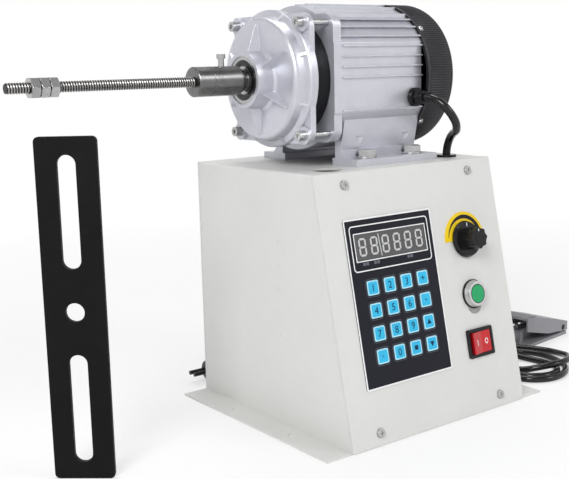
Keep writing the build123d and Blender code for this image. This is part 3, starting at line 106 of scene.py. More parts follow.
def grid_faces(rows: int, columns: int, wrap_rows: bool, wrap_columns: bool) -> list:
    """Quads of a grid of points: each joins a point to its neighbours down and across, modulo the wraps.

    Args:
        rows: Rows of points.
        columns: Points in a row.
        wrap_rows: Whether the last row joins the first.
        wrap_columns: Whether a row's last point joins its first.

    Returns:
        The corner indices of each quad.
    """
    row = np.arange(rows if wrap_rows else rows - 1)[:, None]
    column = np.arange(columns if wrap_columns else columns - 1)[None, :]
    below, beside = (row + 1) % rows, (column + 1) % columns
    corners = ((row, column), (row, beside), (below, beside), (below, column))
    indices = [np.broadcast_to(down * columns + along, (row.size, column.size)) for down, along in corners]
    return np.stack(indices, -1).reshape(-1, 4).tolist()


def slab_stack(outlines: list[np.ndarray], low: float, high: float) -> Shape:
    """Flat closed slabs: each outline is repeated at two heights and joined by a wall and two lids.

    Args:
        outlines: Closed outlines in the slabs' own plane, as rows of x and y.
        low: Height of the undersides.
        high: Height of the tops.

    Returns:
        The vertices in the slabs' own frame, and the faces.
    """
    vertices, faces, start = [], [], 0
    for outline in outlines:
        count = len(outline)
        levels = [np.column_stack([outline, np.full(count, height)]) for height in (low, high)]
        vertices.append(np.concatenate(levels))
        faces += (np.array(grid_faces(2, count, False, True)) + start).tolist()
        faces.append(list(range(start + count - 1, start - 1, -1)))
        faces.append(list(range(start + count, start + 2 * count)))
        start += 2 * count
    return np.concatenate(vertices), faces


def ring_slab(outer: np.ndarray, inner: np.ndarray, low: float, high: float) -> Shape:
    """A flat closed ring between two outlines: four loops, joined round and back.

    Args:
        outer: The outside outline, as rows of x and y.
        inner: The inside outline, with as many points.
        low: Height of the underside.
        high: Height of the top.

    Returns:
        The vertices in the ring's own frame, and the faces.
    """
    loops = [(outer, low), (outer, high), (inner, high), (inner, low)]
    levels = [np.column_stack([outline, np.full(len(outline), height)]) for outline, height in loops]
    return np.concatenate(levels), grid_faces(len(loops), len(outer), True, True)


def joined(parts: list[Shape]) -> Shape:
    """Several shapes as one, with the face indices counted on.

    Args:
        parts: The vertices and faces of each.

    Returns:
        All vertices and all faces.
    """
    starts = np.cumsum([0] + [len(vertices) for vertices, _ in parts[:-1]])
    faces = [
        [corner + int(start) for corner in face] for start, (_, part) in zip(starts, parts) for face in part
    ]
    return np.concatenate([vertices for vertices, _ in parts]), faces


def unit_circle(count: int) -> np.ndarray:
    """Points spaced evenly round a circle of radius one, as rows of x and y."""
    angles = np.linspace(0, 2 * math.pi, count, endpoint=False)
    return np.column_stack([np.cos(angles), np.sin(angles)])


def rounded_rectangle(width: float, height: float, radius: float, steps: int = 6) -> np.ndarray:
    """A rounded rectangle: each corner is a quarter circle about a centre set in by the radius.

    Args:
        width: Its size across.
        height: Its size upwards.
        radius: The corners' radius.
        steps: Steps in each quarter circle.

    Returns:
        Rows of x and y about its middle.
    """
    quarter = np.linspace(0, math.pi / 2, steps + 1)
    angles = np.concatenate([quarter + turn * math.pi / 2 for turn in range(4)])
    signs = np.repeat(np.array([[1, 1], [-1, 1], [-1, -1], [1, -1]]), steps + 1, axis=0)
    centres = signs * np.array([width / 2 - radius, height / 2 - radius])
    return centres + radius * np.column_stack([np.cos(angles), np.sin(angles)])


def revolved(
    profile: np.ndarray, origin: Place, axis: Place, side: Place, columns: int, closed: bool
) -> Shape:
    """A surface of revolution: every profile point (along, radius) is swept round the axis.

    Args:
        profile: Rows of distance along the axis and radius.
        origin: A point on the axis where the distance is nought.
        axis: The axis's direction.
        side: A direction square to it, where the angle is nought.
        columns: Steps in a whole turn.
        closed: Whether the profile's end joins its start.

    Returns:
        Vertices in metres, one row of them for each profile point, and faces.
    """
    along, first = np.array(axis, float), np.array(side, float)
    second = np.cross(along, first)
    angles = np.arange(columns) * 2 * math.pi / columns
    around = np.cos(angles)[:, None] * first + np.sin(angles)[:, None] * second
    grid = np.array(origin) + profile[:, 0, None, None] * along + profile[:, 1, None, None] * around
    return grid.reshape(-1, 3) * MM, grid_faces(len(profile), columns, closed, True)


def written(text: str, size: float, thickness: float) -> Shape:
    """A short text as a flat closed mesh about its own middle.

    Args:
        text: Digits or plain signs.
        size: Height of the letters' body.
        thickness: How thick the strokes stand.

    Returns:
        Vertices in the text's own plane, and faces.
    """
    curve = bpy.data.curves.new("legend", "FONT")
    curve.body, curve.size, curve.extrude, curve.resolution_u = text, size, thickness / 2, 4
    curve.align_x, curve.align_y = "CENTER", "CENTER"
    holder = bpy.data.objects.new("legend", curve)
    bpy.context.scene.collection.objects.link(holder)
    shape = bpy.data.meshes.new_from_object(holder.evaluated_get(bpy.context.evaluated_depsgraph_get()))
    vertices = np.empty(3 * len(shape.vertices))
    shape.vertices.foreach_get("co", vertices)
    vertices = vertices.reshape(-1, 3)
    vertices[:, :2] -= (vertices[:, :2].max(0) + vertices[:, :2].min(0)) / 2
    faces = [list(polygon.vertices) for polygon in shape.polygons]
    bpy.data.objects.remove(holder)
    return vertices, faces


# ---------------------------------------------------------------- finishes


class FinishKind(Enum):
    """How a surface is made."""

    PAINT = "sprayed paint"
    CAST = "silver paint on a casting"
    BRUSHED = "turned or drawn metal"
    MOULDED = "moulded plastic"
    RUBBER = "rubber or cord jacket"
    PRINTED = "printed film"


@dataclass(frozen=True)
class Finish:
    """One finish of the machine.

    Its grain is a noise scale and a depth, its edge a rounding, and its shaded valley the two distances from
    the motor's axis between which painted shade, in the wear colour, gives way to its own colour, so that the
    roots of a thread or of ribs are painted darker. Depth, edge and shaded valley are in mm.
    """

    name: str
    kind: FinishKind
    colour: Colour
    roughness: float
    metallic: float = 0.0
    coat: float = 0.0
    specular: float = 0.5
    variation: float = 0.06
    grain: tuple[float, float] = (900.0, 0.05)
    stretch: Place = (1.0, 1.0, 1.0)
    edge: float = 0.0
    # wear: the rubbed edges' colour, and with a shaded valley also the colour of the painted shade at its
    # bottom.
    wear: Colour = (0.75, 0.75, 0.74)
    wear_amount: float = 0.0
    dust: float = 0.0
    glow: float = 0.0
    shaded_valley: tuple[float, float] | None = None


class Graph:
    """A node tree with short ways to add and join nodes."""

    def __init__(self, tree: bpy.types.NodeTree) -> None:
        """Starts with an empty tree."""
        self.tree = tree
        tree.nodes.clear()

    def add(self, kind: str, **values: object) -> bpy.types.Node:
        """Adds a node.

        Args:
            kind: Its type.
            values: Properties to set on it.

        Returns:
            The node.
        """
        node = self.tree.nodes.new(kind)
        for name, value in values.items():
            setattr(node, name, value)
        return node

    def feed(self, socket: bpy.types.NodeSocket, value: object) -> None:
        """Gives an input its value.

        Args:
            socket: The input.
            value: Another node's output, a number, a vector, or a colour without alpha.
        """
        if isinstance(value, bpy.types.NodeSocket):
            self.tree.links.new(value, socket)
        else:
            socket.default_value = (*value, 1.0) if socket.type == "RGBA" else value

    def fill(self, node: bpy.types.Node, **values: object) -> bpy.types.Node:
        """Gives a node's named inputs their values.

        Args:
            node: The node.
            values: What each input gets, with underscores for the spaces in its name.

        Returns:
            The same node.
        """
        for name, value in values.items():
            self.feed(node.inputs[name.replace("_", " ")], value)
        return node

    def math(self, operation: str, *inputs: object) -> bpy.types.NodeSocket:
        """Adds a Math node.

        Args:
            operation: What it works out.
            inputs: Sockets or plain numbers.

        Returns:
            Its output.
        """
        node = self.add("ShaderNodeMath", operation=operation)
        for socket, value in zip(node.inputs, inputs):
            self.feed(socket, value)
        return node.outputs[0]

    def mix(self, factor: bpy.types.NodeSocket, first: object, second: object) -> bpy.types.NodeSocket:
        """Adds a colour Mix node, whose colour inputs are its seventh and eighth.

        Args:
            factor: How much of the second colour shows.
            first: The first colour, or a socket.
            second: The second colour, or a socket.

        Returns:
            Its output.
        """
        node = self.add("ShaderNodeMix", data_type="RGBA")
        for socket, value in zip((node.inputs["Factor"], *node.inputs[6:8]), (factor, first, second)):
            self.feed(socket, value)
        return node.outputs[2]

    def noise(self, scale: object, detail: float, vector: bpy.types.NodeSocket) -> bpy.types.NodeSocket:
        """Adds a Noise texture on the given coordinates and returns its value."""
        node = self.add("ShaderNodeTexNoise")
        return self.fill(node, Scale=scale, Detail=detail, Vector=vector).outputs["Fac"]

    def spread(
        self,
        value: bpy.types.NodeSocket,
        source: tuple[float, float],
        target: tuple[float, float] = (0.0, 1.0),
    ) -> bpy.types.NodeSocket:
        """Adds a clamped Map Range node.

        Args:
            value: The value to map.
            source: The range that it comes in.
            target: The range that it goes to.

        Returns:
            Its output.
        """
        node = self.add("ShaderNodeMapRange")
        self.fill(node, Value=value, From_Min=source[0], From_Max=source[1])
        self.fill(node, To_Min=target[0], To_Max=target[1])
        return node.outputs["Result"]

    def here(self) -> bpy.types.NodeSocket:
        """The shaded point in its object's own coordinates."""
        return self.add("ShaderNodeTexCoord").outputs["Object"]

    def seen(self) -> bpy.types.NodeSocket:
        """One where a ray comes from the camera, a shiny surface or glass, and nought elsewhere.

        Returns:
            Its output, which is one for those rays and nought for all others.
        """
        rays = self.add("ShaderNodeLightPath").outputs
        indirect = self.math("MAXIMUM", rays["Is Glossy Ray"], rays["Is Transmission Ray"])
        return self.math("MAXIMUM", rays["Is Camera Ray"], indirect)


class SurfaceGroups:
    """The shader node groups that the finishes share."""

    def __init__(self) -> None:
        """Makes the three groups once."""
        self.tone = self._tone()
        self.grain = self._grain()
        self.wear = self._wear()

    @staticmethod
    def _group(name: str, inputs: dict[str, str], outputs: dict[str, str]) -> tuple:
        """Starts a group with named sockets.

        Args:
            name: The group's name.
            inputs: Each input's name and the last word of its socket type.
            outputs: The same for each output.

        Returns:
            The group's graph, the sockets by which its inputs come in, and its end node.
        """
        tree = bpy.data.node_groups.new(name, "ShaderNodeTree")
        for side, sockets in (("INPUT", inputs), ("OUTPUT", outputs)):
            for socket, kind in sockets.items():
                tree.interface.new_socket(name=socket, in_out=side, socket_type=f"NodeSocket{kind}")
        graph = Graph(tree)
        return graph, graph.add("NodeGroupInput").outputs, graph.add("NodeGroupOutput")

    def _tone(self) -> bpy.types.NodeTree:
        """Slow changes of colour over a surface, with a little dust where it faces up.

        Returns:
            The group.
        """
        inputs = {"Colour": "Color", "Amount": "Float", "Dust": "Float"}
        graph, given, end = self._group("surface_tone", inputs, {"Colour": "Color", "Mask": "Float"})
        place = graph.here()
        cloud = graph.noise(14.0, 4.0, place)
        streak = graph.noise(90.0, 3.0, place)
        mask = graph.math("MULTIPLY_ADD", streak, 0.35, graph.math("MULTIPLY", cloud, 0.65))
        level = graph.spread(mask, (0.35, 0.65), (-1.0, 1.0))
        bright = graph.add("ShaderNodeVectorMath", operation="SCALE")
        graph.feed(bright.inputs[0], given["Colour"])
        graph.fill(bright, Scale=graph.math("MULTIPLY_ADD", level, given["Amount"], 1.0))
        facing = graph.add("ShaderNodeSeparateXYZ")
        graph.feed(facing.inputs[0], graph.add("ShaderNodeNewGeometry").outputs["Normal"])
        upward = graph.spread(facing.outputs["Z"], (0.2, 1.0))
        speckle = graph.spread(graph.noise(420.0, 6.0, place), (0.45, 0.75))
        dust = graph.math("MULTIPLY", graph.math("MULTIPLY", upward, speckle), given["Dust"])
        graph.fill(end, Colour=graph.mix(dust, bright.outputs[0], (0.6, 0.58, 0.55)), Mask=mask)
        return graph.tree

    def _grain(self) -> bpy.types.NodeTree:
        """Fine relief, stretched along the way a surface was worked.

        Returns:
            The group.
        """
        inputs = {"Scale": "Float", "Stretch": "Vector"}
        graph, given, end = self._group("surface_grain", inputs, {"Height": "Float", "Mask": "Float"})
        stretched = graph.add("ShaderNodeVectorMath", operation="MULTIPLY")
        graph.feed(stretched.inputs[0], graph.here())
        graph.feed(stretched.inputs[1], given["Stretch"])
        fine = graph.noise(given["Scale"], 3.0, stretched.outputs[0])
        coarse = graph.noise(graph.math("MULTIPLY", given["Scale"], 0.3), 2.0, stretched.outputs[0])
        height = graph.math("MULTIPLY_ADD", coarse, 0.5, fine)
        graph.fill(end, Height=height, Mask=graph.spread(fine, (0.35, 0.65)))
        return graph.tree

    def _wear(self) -> bpy.types.NodeTree:
        """Rubbed edges: where a rounded normal leaves the flat one, broken up by noise.

        Returns:
            The group.
        """
        inputs = {"Colour": "Color", "Wear": "Color", "Amount": "Float", "Radius": "Float"}
        graph, given, end = self._group("edge_wear", inputs, {"Colour": "Color", "Mask": "Float"})
        rounded = graph.fill(graph.add("ShaderNodeBevel", samples=4), Radius=given["Radius"])
        closeness = graph.add("ShaderNodeVectorMath", operation="DOT_PRODUCT")
        graph.feed(closeness.inputs[0], rounded.outputs["Normal"])
        graph.feed(closeness.inputs[1], graph.add("ShaderNodeNewGeometry").outputs["Normal"])
        edge = graph.spread(closeness.outputs["Value"], (0.995, 0.85))
        broken = graph.spread(graph.noise(160.0, 5.0, graph.here()), (0.42, 0.6))
        mask = graph.math("MULTIPLY", graph.math("MULTIPLY", edge, broken), given["Amount"])
        graph.fill(end, Colour=graph.mix(mask, given["Colour"], given["Wear"]), Mask=mask)
        return graph.tree


class FinishShop:
    """Makes each finish's material once and hands it out."""

    def __init__(self) -> None:
        """Starts with the shared groups and no materials."""
        self.groups = SurfaceGroups()
        self.made: dict[str, bpy.types.Material] = {}

    def material(self, finish: Finish) -> bpy.types.Material:
        """The material of a finish, made when it is first asked for.

        Args:
            finish: The finish to make it from.

        Returns:
            The material, made once and kept.
        """
        if finish.name not in self.made:
            self.made[finish.name] = self._make(finish)
        return self.made[finish.name]

    @staticmethod
    def _height_over_axis(graph: Graph, span: tuple[float, float]) -> bpy.types.NodeSocket:
        """How far a point stands out of a valley painted with shade: its distance from the motor's axis,
        spread over a span.

        Args:
            graph: The material's graph.
            span: The distances of the valley's bottom and of its top.

        Returns:
            A value from nought at the bottom to one at the top.
        """
        place = graph.add("ShaderNodeSeparateXYZ")
        graph.feed(place.inputs[0], graph.here())
        level = graph.math("SUBTRACT", place.outputs["Y"], MOTOR_AXIS[0] * MM)
        upright = graph.math("SUBTRACT", place.outputs["Z"], MOTOR_AXIS[1] * MM)
        square = graph.math("MULTIPLY_ADD", level, level, graph.math("MULTIPLY", upright, upright))
        return graph.spread(graph.math("SQRT", square), (span[0] * MM, span[1] * MM))

    def _make(self, finish: Finish) -> bpy.types.Material:
        """Builds a finish: tone, wear and painted valley shade for the colour, grain for relief and gloss.

        Args:
            finish: The finish to build.

        Returns:
            A node material.
        """
        material = bpy.data.materials.new(finish.name)
        material.use_nodes = True
        graph = Graph(material.node_tree)
        shader = graph.add("ShaderNodeBsdfPrincipled")
        graph.fill(graph.add("ShaderNodeOutputMaterial"), Surface=shader.outputs[0])
        graph.fill(shader, Metallic=finish.metallic, Specular_IOR_Level=finish.specular)
        graph.fill(shader, Coat_Weight=finish.coat, Coat_Roughness=0.08)
        tone = graph.add("ShaderNodeGroup", node_tree=self.groups.tone)
        graph.fill(tone, Colour=finish.colour, Amount=finish.variation, Dust=finish.dust)
        colour = tone.outputs["Colour"]
        if finish.wear_amount:
            wear = graph.add("ShaderNodeGroup", node_tree=self.groups.wear)
            graph.fill(wear, Colour=colour, Wear=finish.wear, Amount=finish.wear_amount)
            graph.fill(wear, Radius=max(finish.edge, 0.6) * MM)
            colour = wear.outputs["Colour"]
        # Painted shade: the colour darkens to the wear colour towards the bottom of the shaded valley.
        if finish.shaded_valley:
            colour = graph.mix(self._height_over_axis(graph, finish.shaded_valley), finish.wear, colour)
        grain = graph.add("ShaderNodeGroup", node_tree=self.groups.grain)
        graph.fill(grain, Scale=finish.grain[0], Stretch=finish.stretch)
        fine = graph.math("MULTIPLY", grain.outputs["Mask"], 0.5)
        gloss = graph.math("MULTIPLY_ADD", tone.outputs["Mask"], 0.5, fine)
        roughness = graph.spread(gloss, (0.2, 0.8), (0.85 * finish.roughness, 1.15 * finish.roughness))
        bump = graph.add("ShaderNodeBump")
        graph.fill(bump, Strength=0.35, Distance=finish.grain[1] * MM, Height=grain.outputs["Height"])
        if finish.edge:
            rounded = graph.fill(graph.add("ShaderNodeBevel", samples=4), Radius=finish.edge * MM)
            graph.fill(bump, Normal=rounded.outputs["Normal"])
        graph.fill(shader, Base_Color=colour, Roughness=roughness, Normal=bump.outputs["Normal"])
        if finish.glow:
            graph.fill(shader, Emission_Color=finish.colour, Emission_Strength=finish.glow)
        return material


def film(name: str, colour: Colour, roughness: float, specular: float = 0.5, **changes: object) -> Finish:
    """A printed film's finish.

    Args:
        name: The finish's name.
        colour: Its colour.
        roughness: Its roughness.
        specular: How strongly it mirrors.
        changes: What else differs from plain ink.

    Returns:
        The finish.
    """
    usual = {"variation": 0.05, "grain": (2600.0, 0.01)}
    return Finish(name, FinishKind.PRINTED, colour, roughness, specular=specular, **(usual | changes))


CONSOLE_PAINT = Finish(
    "console_paint", FinishKind.PAINT, (0.68, 0.68, 0.665), 0.42, specular=0.4, variation=0.02,
    grain=(1400.0, 0.06), edge=0.8, wear=(0.8, 0.8, 0.8), wear_amount=0.3, dust=0.05,
)
CASTING_PAINT = Finish(
    "casting_paint", FinishKind.CAST, (0.57, 0.575, 0.63), 0.33, metallic=0.55,
    grain=(1000.0, 0.14), edge=0.9,
    wear=(0.85, 0.85, 0.88), wear_amount=0.5, dust=0.06,
)
ZINC = Finish(
    "zinc_plate", FinishKind.BRUSHED, (0.46, 0.46, 0.46), 0.24, metallic=1.0, variation=0.12,
    grain=(1800.0, 0.02),
    edge=0.4, wear=(0.75, 0.75, 0.75), wear_amount=0.5,
)
TURNED = Finish(
    "turned_steel", FinishKind.BRUSHED, (0.19, 0.19, 0.19), 0.28, metallic=1.0, variation=0.3,
    grain=(700.0, 0.05),
    stretch=(6.0, 1.0, 1.0), edge=0.4, wear=(0.55, 0.55, 0.55), wear_amount=0.6,
)
# Painted shade: the thread's roots are darkened to the wear colour, which here is that shade and no wear.
ROD_STEEL = Finish(
    "rod_steel", FinishKind.BRUSHED, (0.42, 0.41, 0.40), 0.3, metallic=0.9, variation=0.2,
    grain=(900.0, 0.03),
    wear=(0.01, 0.01, 0.01), dust=0.1, shaded_valley=(4.1, 5.0),
)
STACK_BLACK = Finish(
    "lamination_paint", FinishKind.PAINT, (0.009, 0.0095, 0.012), 0.36, specular=0.15, variation=0.2,
    grain=(1600.0, 0.08), stretch=(8.0, 1.0, 1.0), edge=0.5, dust=0.03,
)
# Painted shade: the valleys between the ribs are darkened to the wear colour, which here is that shade.
COVER_BLACK = Finish(
    "cover_paint", FinishKind.MOULDED, (0.03, 0.03, 0.037), 0.38, specular=0.3, variation=0.15,
    grain=(1200.0, 0.05), edge=0.6, wear=(0.004, 0.004, 0.005), dust=0.04, shaded_valley=(74.4, 75.1),
)
MOULDED_BLACK = Finish(
    "moulded_black", FinishKind.MOULDED, (0.009, 0.009, 0.01), 0.2, specular=0.25, variation=0.15,
    grain=(1500.0, 0.03), edge=0.4, dust=0.02,
)
OVERLAY_BLACK = film(
    "overlay_film", (0.011, 0.011, 0.018), 0.4, 0.15, variation=0.12, grain=(2600.0, 0.02), edge=0.2
)
PRINT_WHITE = film("printed_white", (0.86, 0.87, 0.87), 0.45, variation=0.03)
PRINT_GREY = film("printed_grey", (0.13, 0.14, 0.17), 0.45, 0.2)
PRINT_INK = film("printed_ink", (0.004, 0.03, 0.09), 0.45, 0.2, variation=0.08)
KEY_BLUE = film("key_blue", (0.04, 0.47, 0.76), 0.35, 0.2, grain=(2200.0, 0.02))
KEY_BORDER = film("key_border", (0.45, 0.80, 0.92), 0.35, 0.3, variation=0.04, grain=(2200.0, 0.02), edge=0.2)
DISPLAY_GREY = film("display_face", (0.10, 0.10, 0.102), 0.25, 0.25, variation=0.1, grain=(1800.0, 0.01))
SEGMENT_GREY = film("display_segment", (0.55, 0.55, 0.56), 0.3, grain=(1800.0, 0.01))
DIAL_YELLOW = film("dial_yellow", (0.86, 0.60, 0.01), 0.36, 0.3, grain=(2000.0, 0.02))
GASKET_GREY = Finish(
    "gasket_grey", FinishKind.RUBBER, (0.30, 0.30, 0.29), 0.5, specular=0.3, variation=0.08,
    grain=(1500.0, 0.03)
)
BUTTON_GREEN = Finish(
    "button_green", FinishKind.MOULDED, (0.008, 0.36, 0.12), 0.25, coat=0.2, specular=0.3,
    grain=(1500.0, 0.02),
    edge=0.5,
)
BEZEL_NICKEL = Finish(
    "bezel_nickel", FinishKind.BRUSHED, (0.62, 0.62, 0.62), 0.22, metallic=0.9, variation=0.05,
    grain=(1600.0, 0.02), edge=0.4,
)
ROCKER_RED = Finish(
    "rocker_red", FinishKind.MOULDED, (0.50, 0.006, 0.012), 0.16, coat=0.25, specular=0.3, variation=0.1,
    grain=(1500.0, 0.01), edge=0.4, glow=0.04,
)
CORD_JACKET = Finish(
    "cord_jacket", FinishKind.RUBBER, (0.006, 0.006, 0.007), 0.18, specular=0.4, variation=0.18,
    grain=(1300.0, 0.04), dust=0.02,
)
PEDAL_GREY = Finish(
    "pedal_paint", FinishKind.PAINT, (0.27, 0.27, 0.29), 0.42, specular=0.4, variation=0.05,
    grain=(1200.0, 0.08),
    edge=0.8, wear=(0.5, 0.5, 0.5), wear_amount=0.5, dust=0.04,
)
PLATE_BLACK = Finish(
    "plate_oxide", FinishKind.PAINT, (0.006, 0.006, 0.006), 0.45, specular=0.1, variation=0.2,
    grain=(900.0, 0.08),
    edge=0.5, wear=(0.1, 0.1, 0.1), wear_amount=0.5,
)
BOARD_GREEN = Finish(
    "board_mask", FinishKind.MOULDED, (0.01, 0.12, 0.05), 0.3, variation=0.2, grain=(500.0, 0.05)
)
DRIVER_METAL = Finish(
    "driver_metal", FinishKind.BRUSHED, (0.6, 0.6, 0.6), 0.35, metallic=0.9, variation=0.08,
    stretch=(1.0, 8.0, 1.0), edge=0.5,
)
RING_GREY = Finish(
    "end_ring_paint", FinishKind.CAST, (0.55, 0.56, 0.57), 0.38, metallic=0.4, variation=0.05,
    grain=(900.0, 0.1),
    edge=0.8,
)

FINISHES = FinishShop()

DRESSED_NODES: tuple[tuple[Finish, str], ...] = (
    (CONSOLE_PAINT, "enclosure_shell front_panel rear_panel bottom_plate"),
    (ZINC, "panel_screws speed_potentiometer tie_bolts bearings motor_foot_bolts coupler_screws"),
    (ZINC, "lock_nuts outer_nut"),
    (DRIVER_METAL, "motor_driver"),
    (BOARD_GREEN, "control_board"),
    (OVERLAY_BLACK, "keypad_overlay"),
    (DIAL_YELLOW, "speed_dial_plate"),
    (MOULDED_BLACK, "speed_knob power_switch_body cable_fittings"),
    (BEZEL_NICKEL, "start_button_body"),
    (BUTTON_GREEN, "start_button_cap"),
    (ROCKER_RED, "power_switch_rocker"),
    (CASTING_PAINT, "motor_housing gear_case gearbox_plate"),
    (TURNED, "ring_gear planet_gear_1 planet_gear_2 planet_gear_3 rotor output_carrier spindle_coupler"),
    (STACK_BLACK, "stator"),
    (COVER_BLACK, "rear_cover"),
    (RING_GREY, "rear_cover_ring"),
    (CORD_JACKET, "motor_cable mains_plug"),
    (PEDAL_GREY, "pedal_base pedal_treadle"),
    (PLATE_BLACK, "slotted_plate"),
)


def dress_frame() -> None:
    """Gives every CAD node that stays its finish, through its object's material slots."""
    finishes = {name: finish for finish, names in DRESSED_NODES for name in names.split()}
    finishes |= {name: KEY_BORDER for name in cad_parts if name.startswith("key_r")}
    for name, finish in finishes.items():
        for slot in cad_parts[name].material_slots:
            slot.material = FINISHES.material(finish)
        LOG.info("node %s is finished in %s", name, finish.name)


# ---------------------------------------------------------------- camera, light and floor


@dataclass
class Studio:
    """The photograph's camera, a pale floor and soft light, in metres, radians and watts."""

    position: Place = (-0.6842, -0.7782, 0.3592)
    yaw: float = math.radians(36.905)
    pitch: float = math.radians(10.172)
    roll: float = math.radians(-1.362)
    sensor: float = 36.0
    focal_share: float = 985.36 / 569
    clip: tuple[float, float] = (0.02, 40.0)
    floor_half: float = 6.0
    floor_colour: Colour = (0.92, 0.92, 0.92)
    floor_fade: tuple[float, float] = (0.45, 1.3)
    floor_white: float = 0.5
    world_level: float = 0.5
    overhead_share: float = 0.4
    aim: Place = (0.0, 0.0, 0.2)
    lamps: dict[str, tuple[Place, float, float]] = field(
        default_factory=lambda: {
            "key_light": ((-2.3, -1.5, 1.9), 1.4, 58.0),
            "side_light": ((1.4, -2.4, 1.9), 1.2, 20.0),
            "top_light": ((0.2, 0.6, 2.6), 1.8, 30.0),
        }
    )

    def place_camera(self) -> None:
        """Puts the camera where the photograph was taken from."""
        yaw, pitch, roll = self.yaw, self.pitch, self.roll
        ahead = Vector((math.sin(yaw) * math.cos(pitch), math.cos(yaw) * math.cos(pitch), -math.sin(pitch)))
        level = Vector((math.cos(yaw), -math.sin(yaw), 0))
        upright = level.cross(ahead)
        right = level * math.cos(roll) + upright * math.sin(roll)
        up = upright * math.cos(roll) - level * math.sin(roll)
        data = bpy.data.cameras.new("photograph")
        data.sensor_width, data.lens = self.sensor, self.sensor * self.focal_share
        data.clip_start, data.clip_end = self.clip
        camera = bpy.data.objects.new("photograph", data)
        turn = Matrix((right, up, -ahead)).transposed().to_4x4()
        camera.matrix_world = Matrix.Translation(self.position) @ turn
        bpy.context.scene.collection.objects.link(camera)
        bpy.context.scene.camera = camera

    def lay_floor(self) -> None:
        """Lays a large pale floor that keeps the machine's shadow and fades to white with distance."""
        half = self.floor_half
        corners = [[-half, -half, 0], [half, -half, 0], [half, half, 0], [-half, half, 0]]
        mesh = bpy.data.meshes.new("floor")
        mesh.from_pydata(corners, [], [[0, 1, 2, 3]])
        material = bpy.data.materials.new("pale_floor")
        material.use_nodes = True
        graph = Graph(material.node_tree)
        shader = graph.add("ShaderNodeBsdfPrincipled")
        graph.fill(shader, Base_Color=self.floor_colour, Roughness=0.75)
        distance = graph.add("ShaderNodeVectorMath", operation="LENGTH")
        graph.feed(distance.inputs[0], graph.here())
        white_share = graph.spread(distance.outputs["Value"], self.floor_fade, (self.floor_white, 1.0))
        both = graph.add("ShaderNodeMixShader")
        shades = (graph.math("MULTIPLY", graph.seen(), white_share), shader.outputs[0])
        for socket, value in zip(both.inputs, (*shades, graph.add("ShaderNodeEmission").outputs[0])):
            graph.feed(socket, value)
        graph.fill(graph.add("ShaderNodeOutputMaterial"), Surface=both.outputs[0])
        floor = bpy.data.objects.new("floor", mesh)
        mesh.materials.append(material)
        bpy.context.scene.collection.objects.link(floor)

    def light(self) -> None:
        """Sets a white surround, dimmer overhead, and three soft lamps, all aimed at the machine's middle."""
        world = bpy.data.worlds.new("surround")
        world.use_nodes = True
        graph = Graph(world.node_tree)
        height = graph.add("ShaderNodeSeparateXYZ")
        graph.feed(height.inputs[0], graph.add("ShaderNodeTexCoord").outputs["Generated"])
        overhead = graph.spread(height.outputs["Z"], (0.25, 0.8), (1.0, self.overhead_share))
        level = graph.spread(graph.seen(), (0.0, 1.0), (self.world_level, 1.0))
        shine = graph.add("ShaderNodeBackground")
        graph.fill(shine, Color=(1.0, 1.0, 1.0), Strength=graph.math("MULTIPLY", level, overhead))
        graph.fill(graph.add("ShaderNodeOutputWorld"), Surface=shine.outputs[0])
        bpy.context.scene.world = world
        for name, (place, size, power) in self.lamps.items():
            data = bpy.data.lights.new(name, "AREA")
            data.shape, data.size, data.energy = "DISK", size, power
            lamp = bpy.data.objects.new(name, data)
            lamp.location = place
            lamp.rotation_euler = (Vector(self.aim) - Vector(place)).to_track_quat("-Z", "Y").to_euler()
            bpy.context.scene.collection.objects.link(lamp)

    def build(self) -> None:
        """Builds the whole studio."""
        self.place_camera()
        self.lay_floor()
        self.light()
        bpy.context.scene.view_settings.view_transform = "Standard"


# ---------------------------------------------------------------- cords


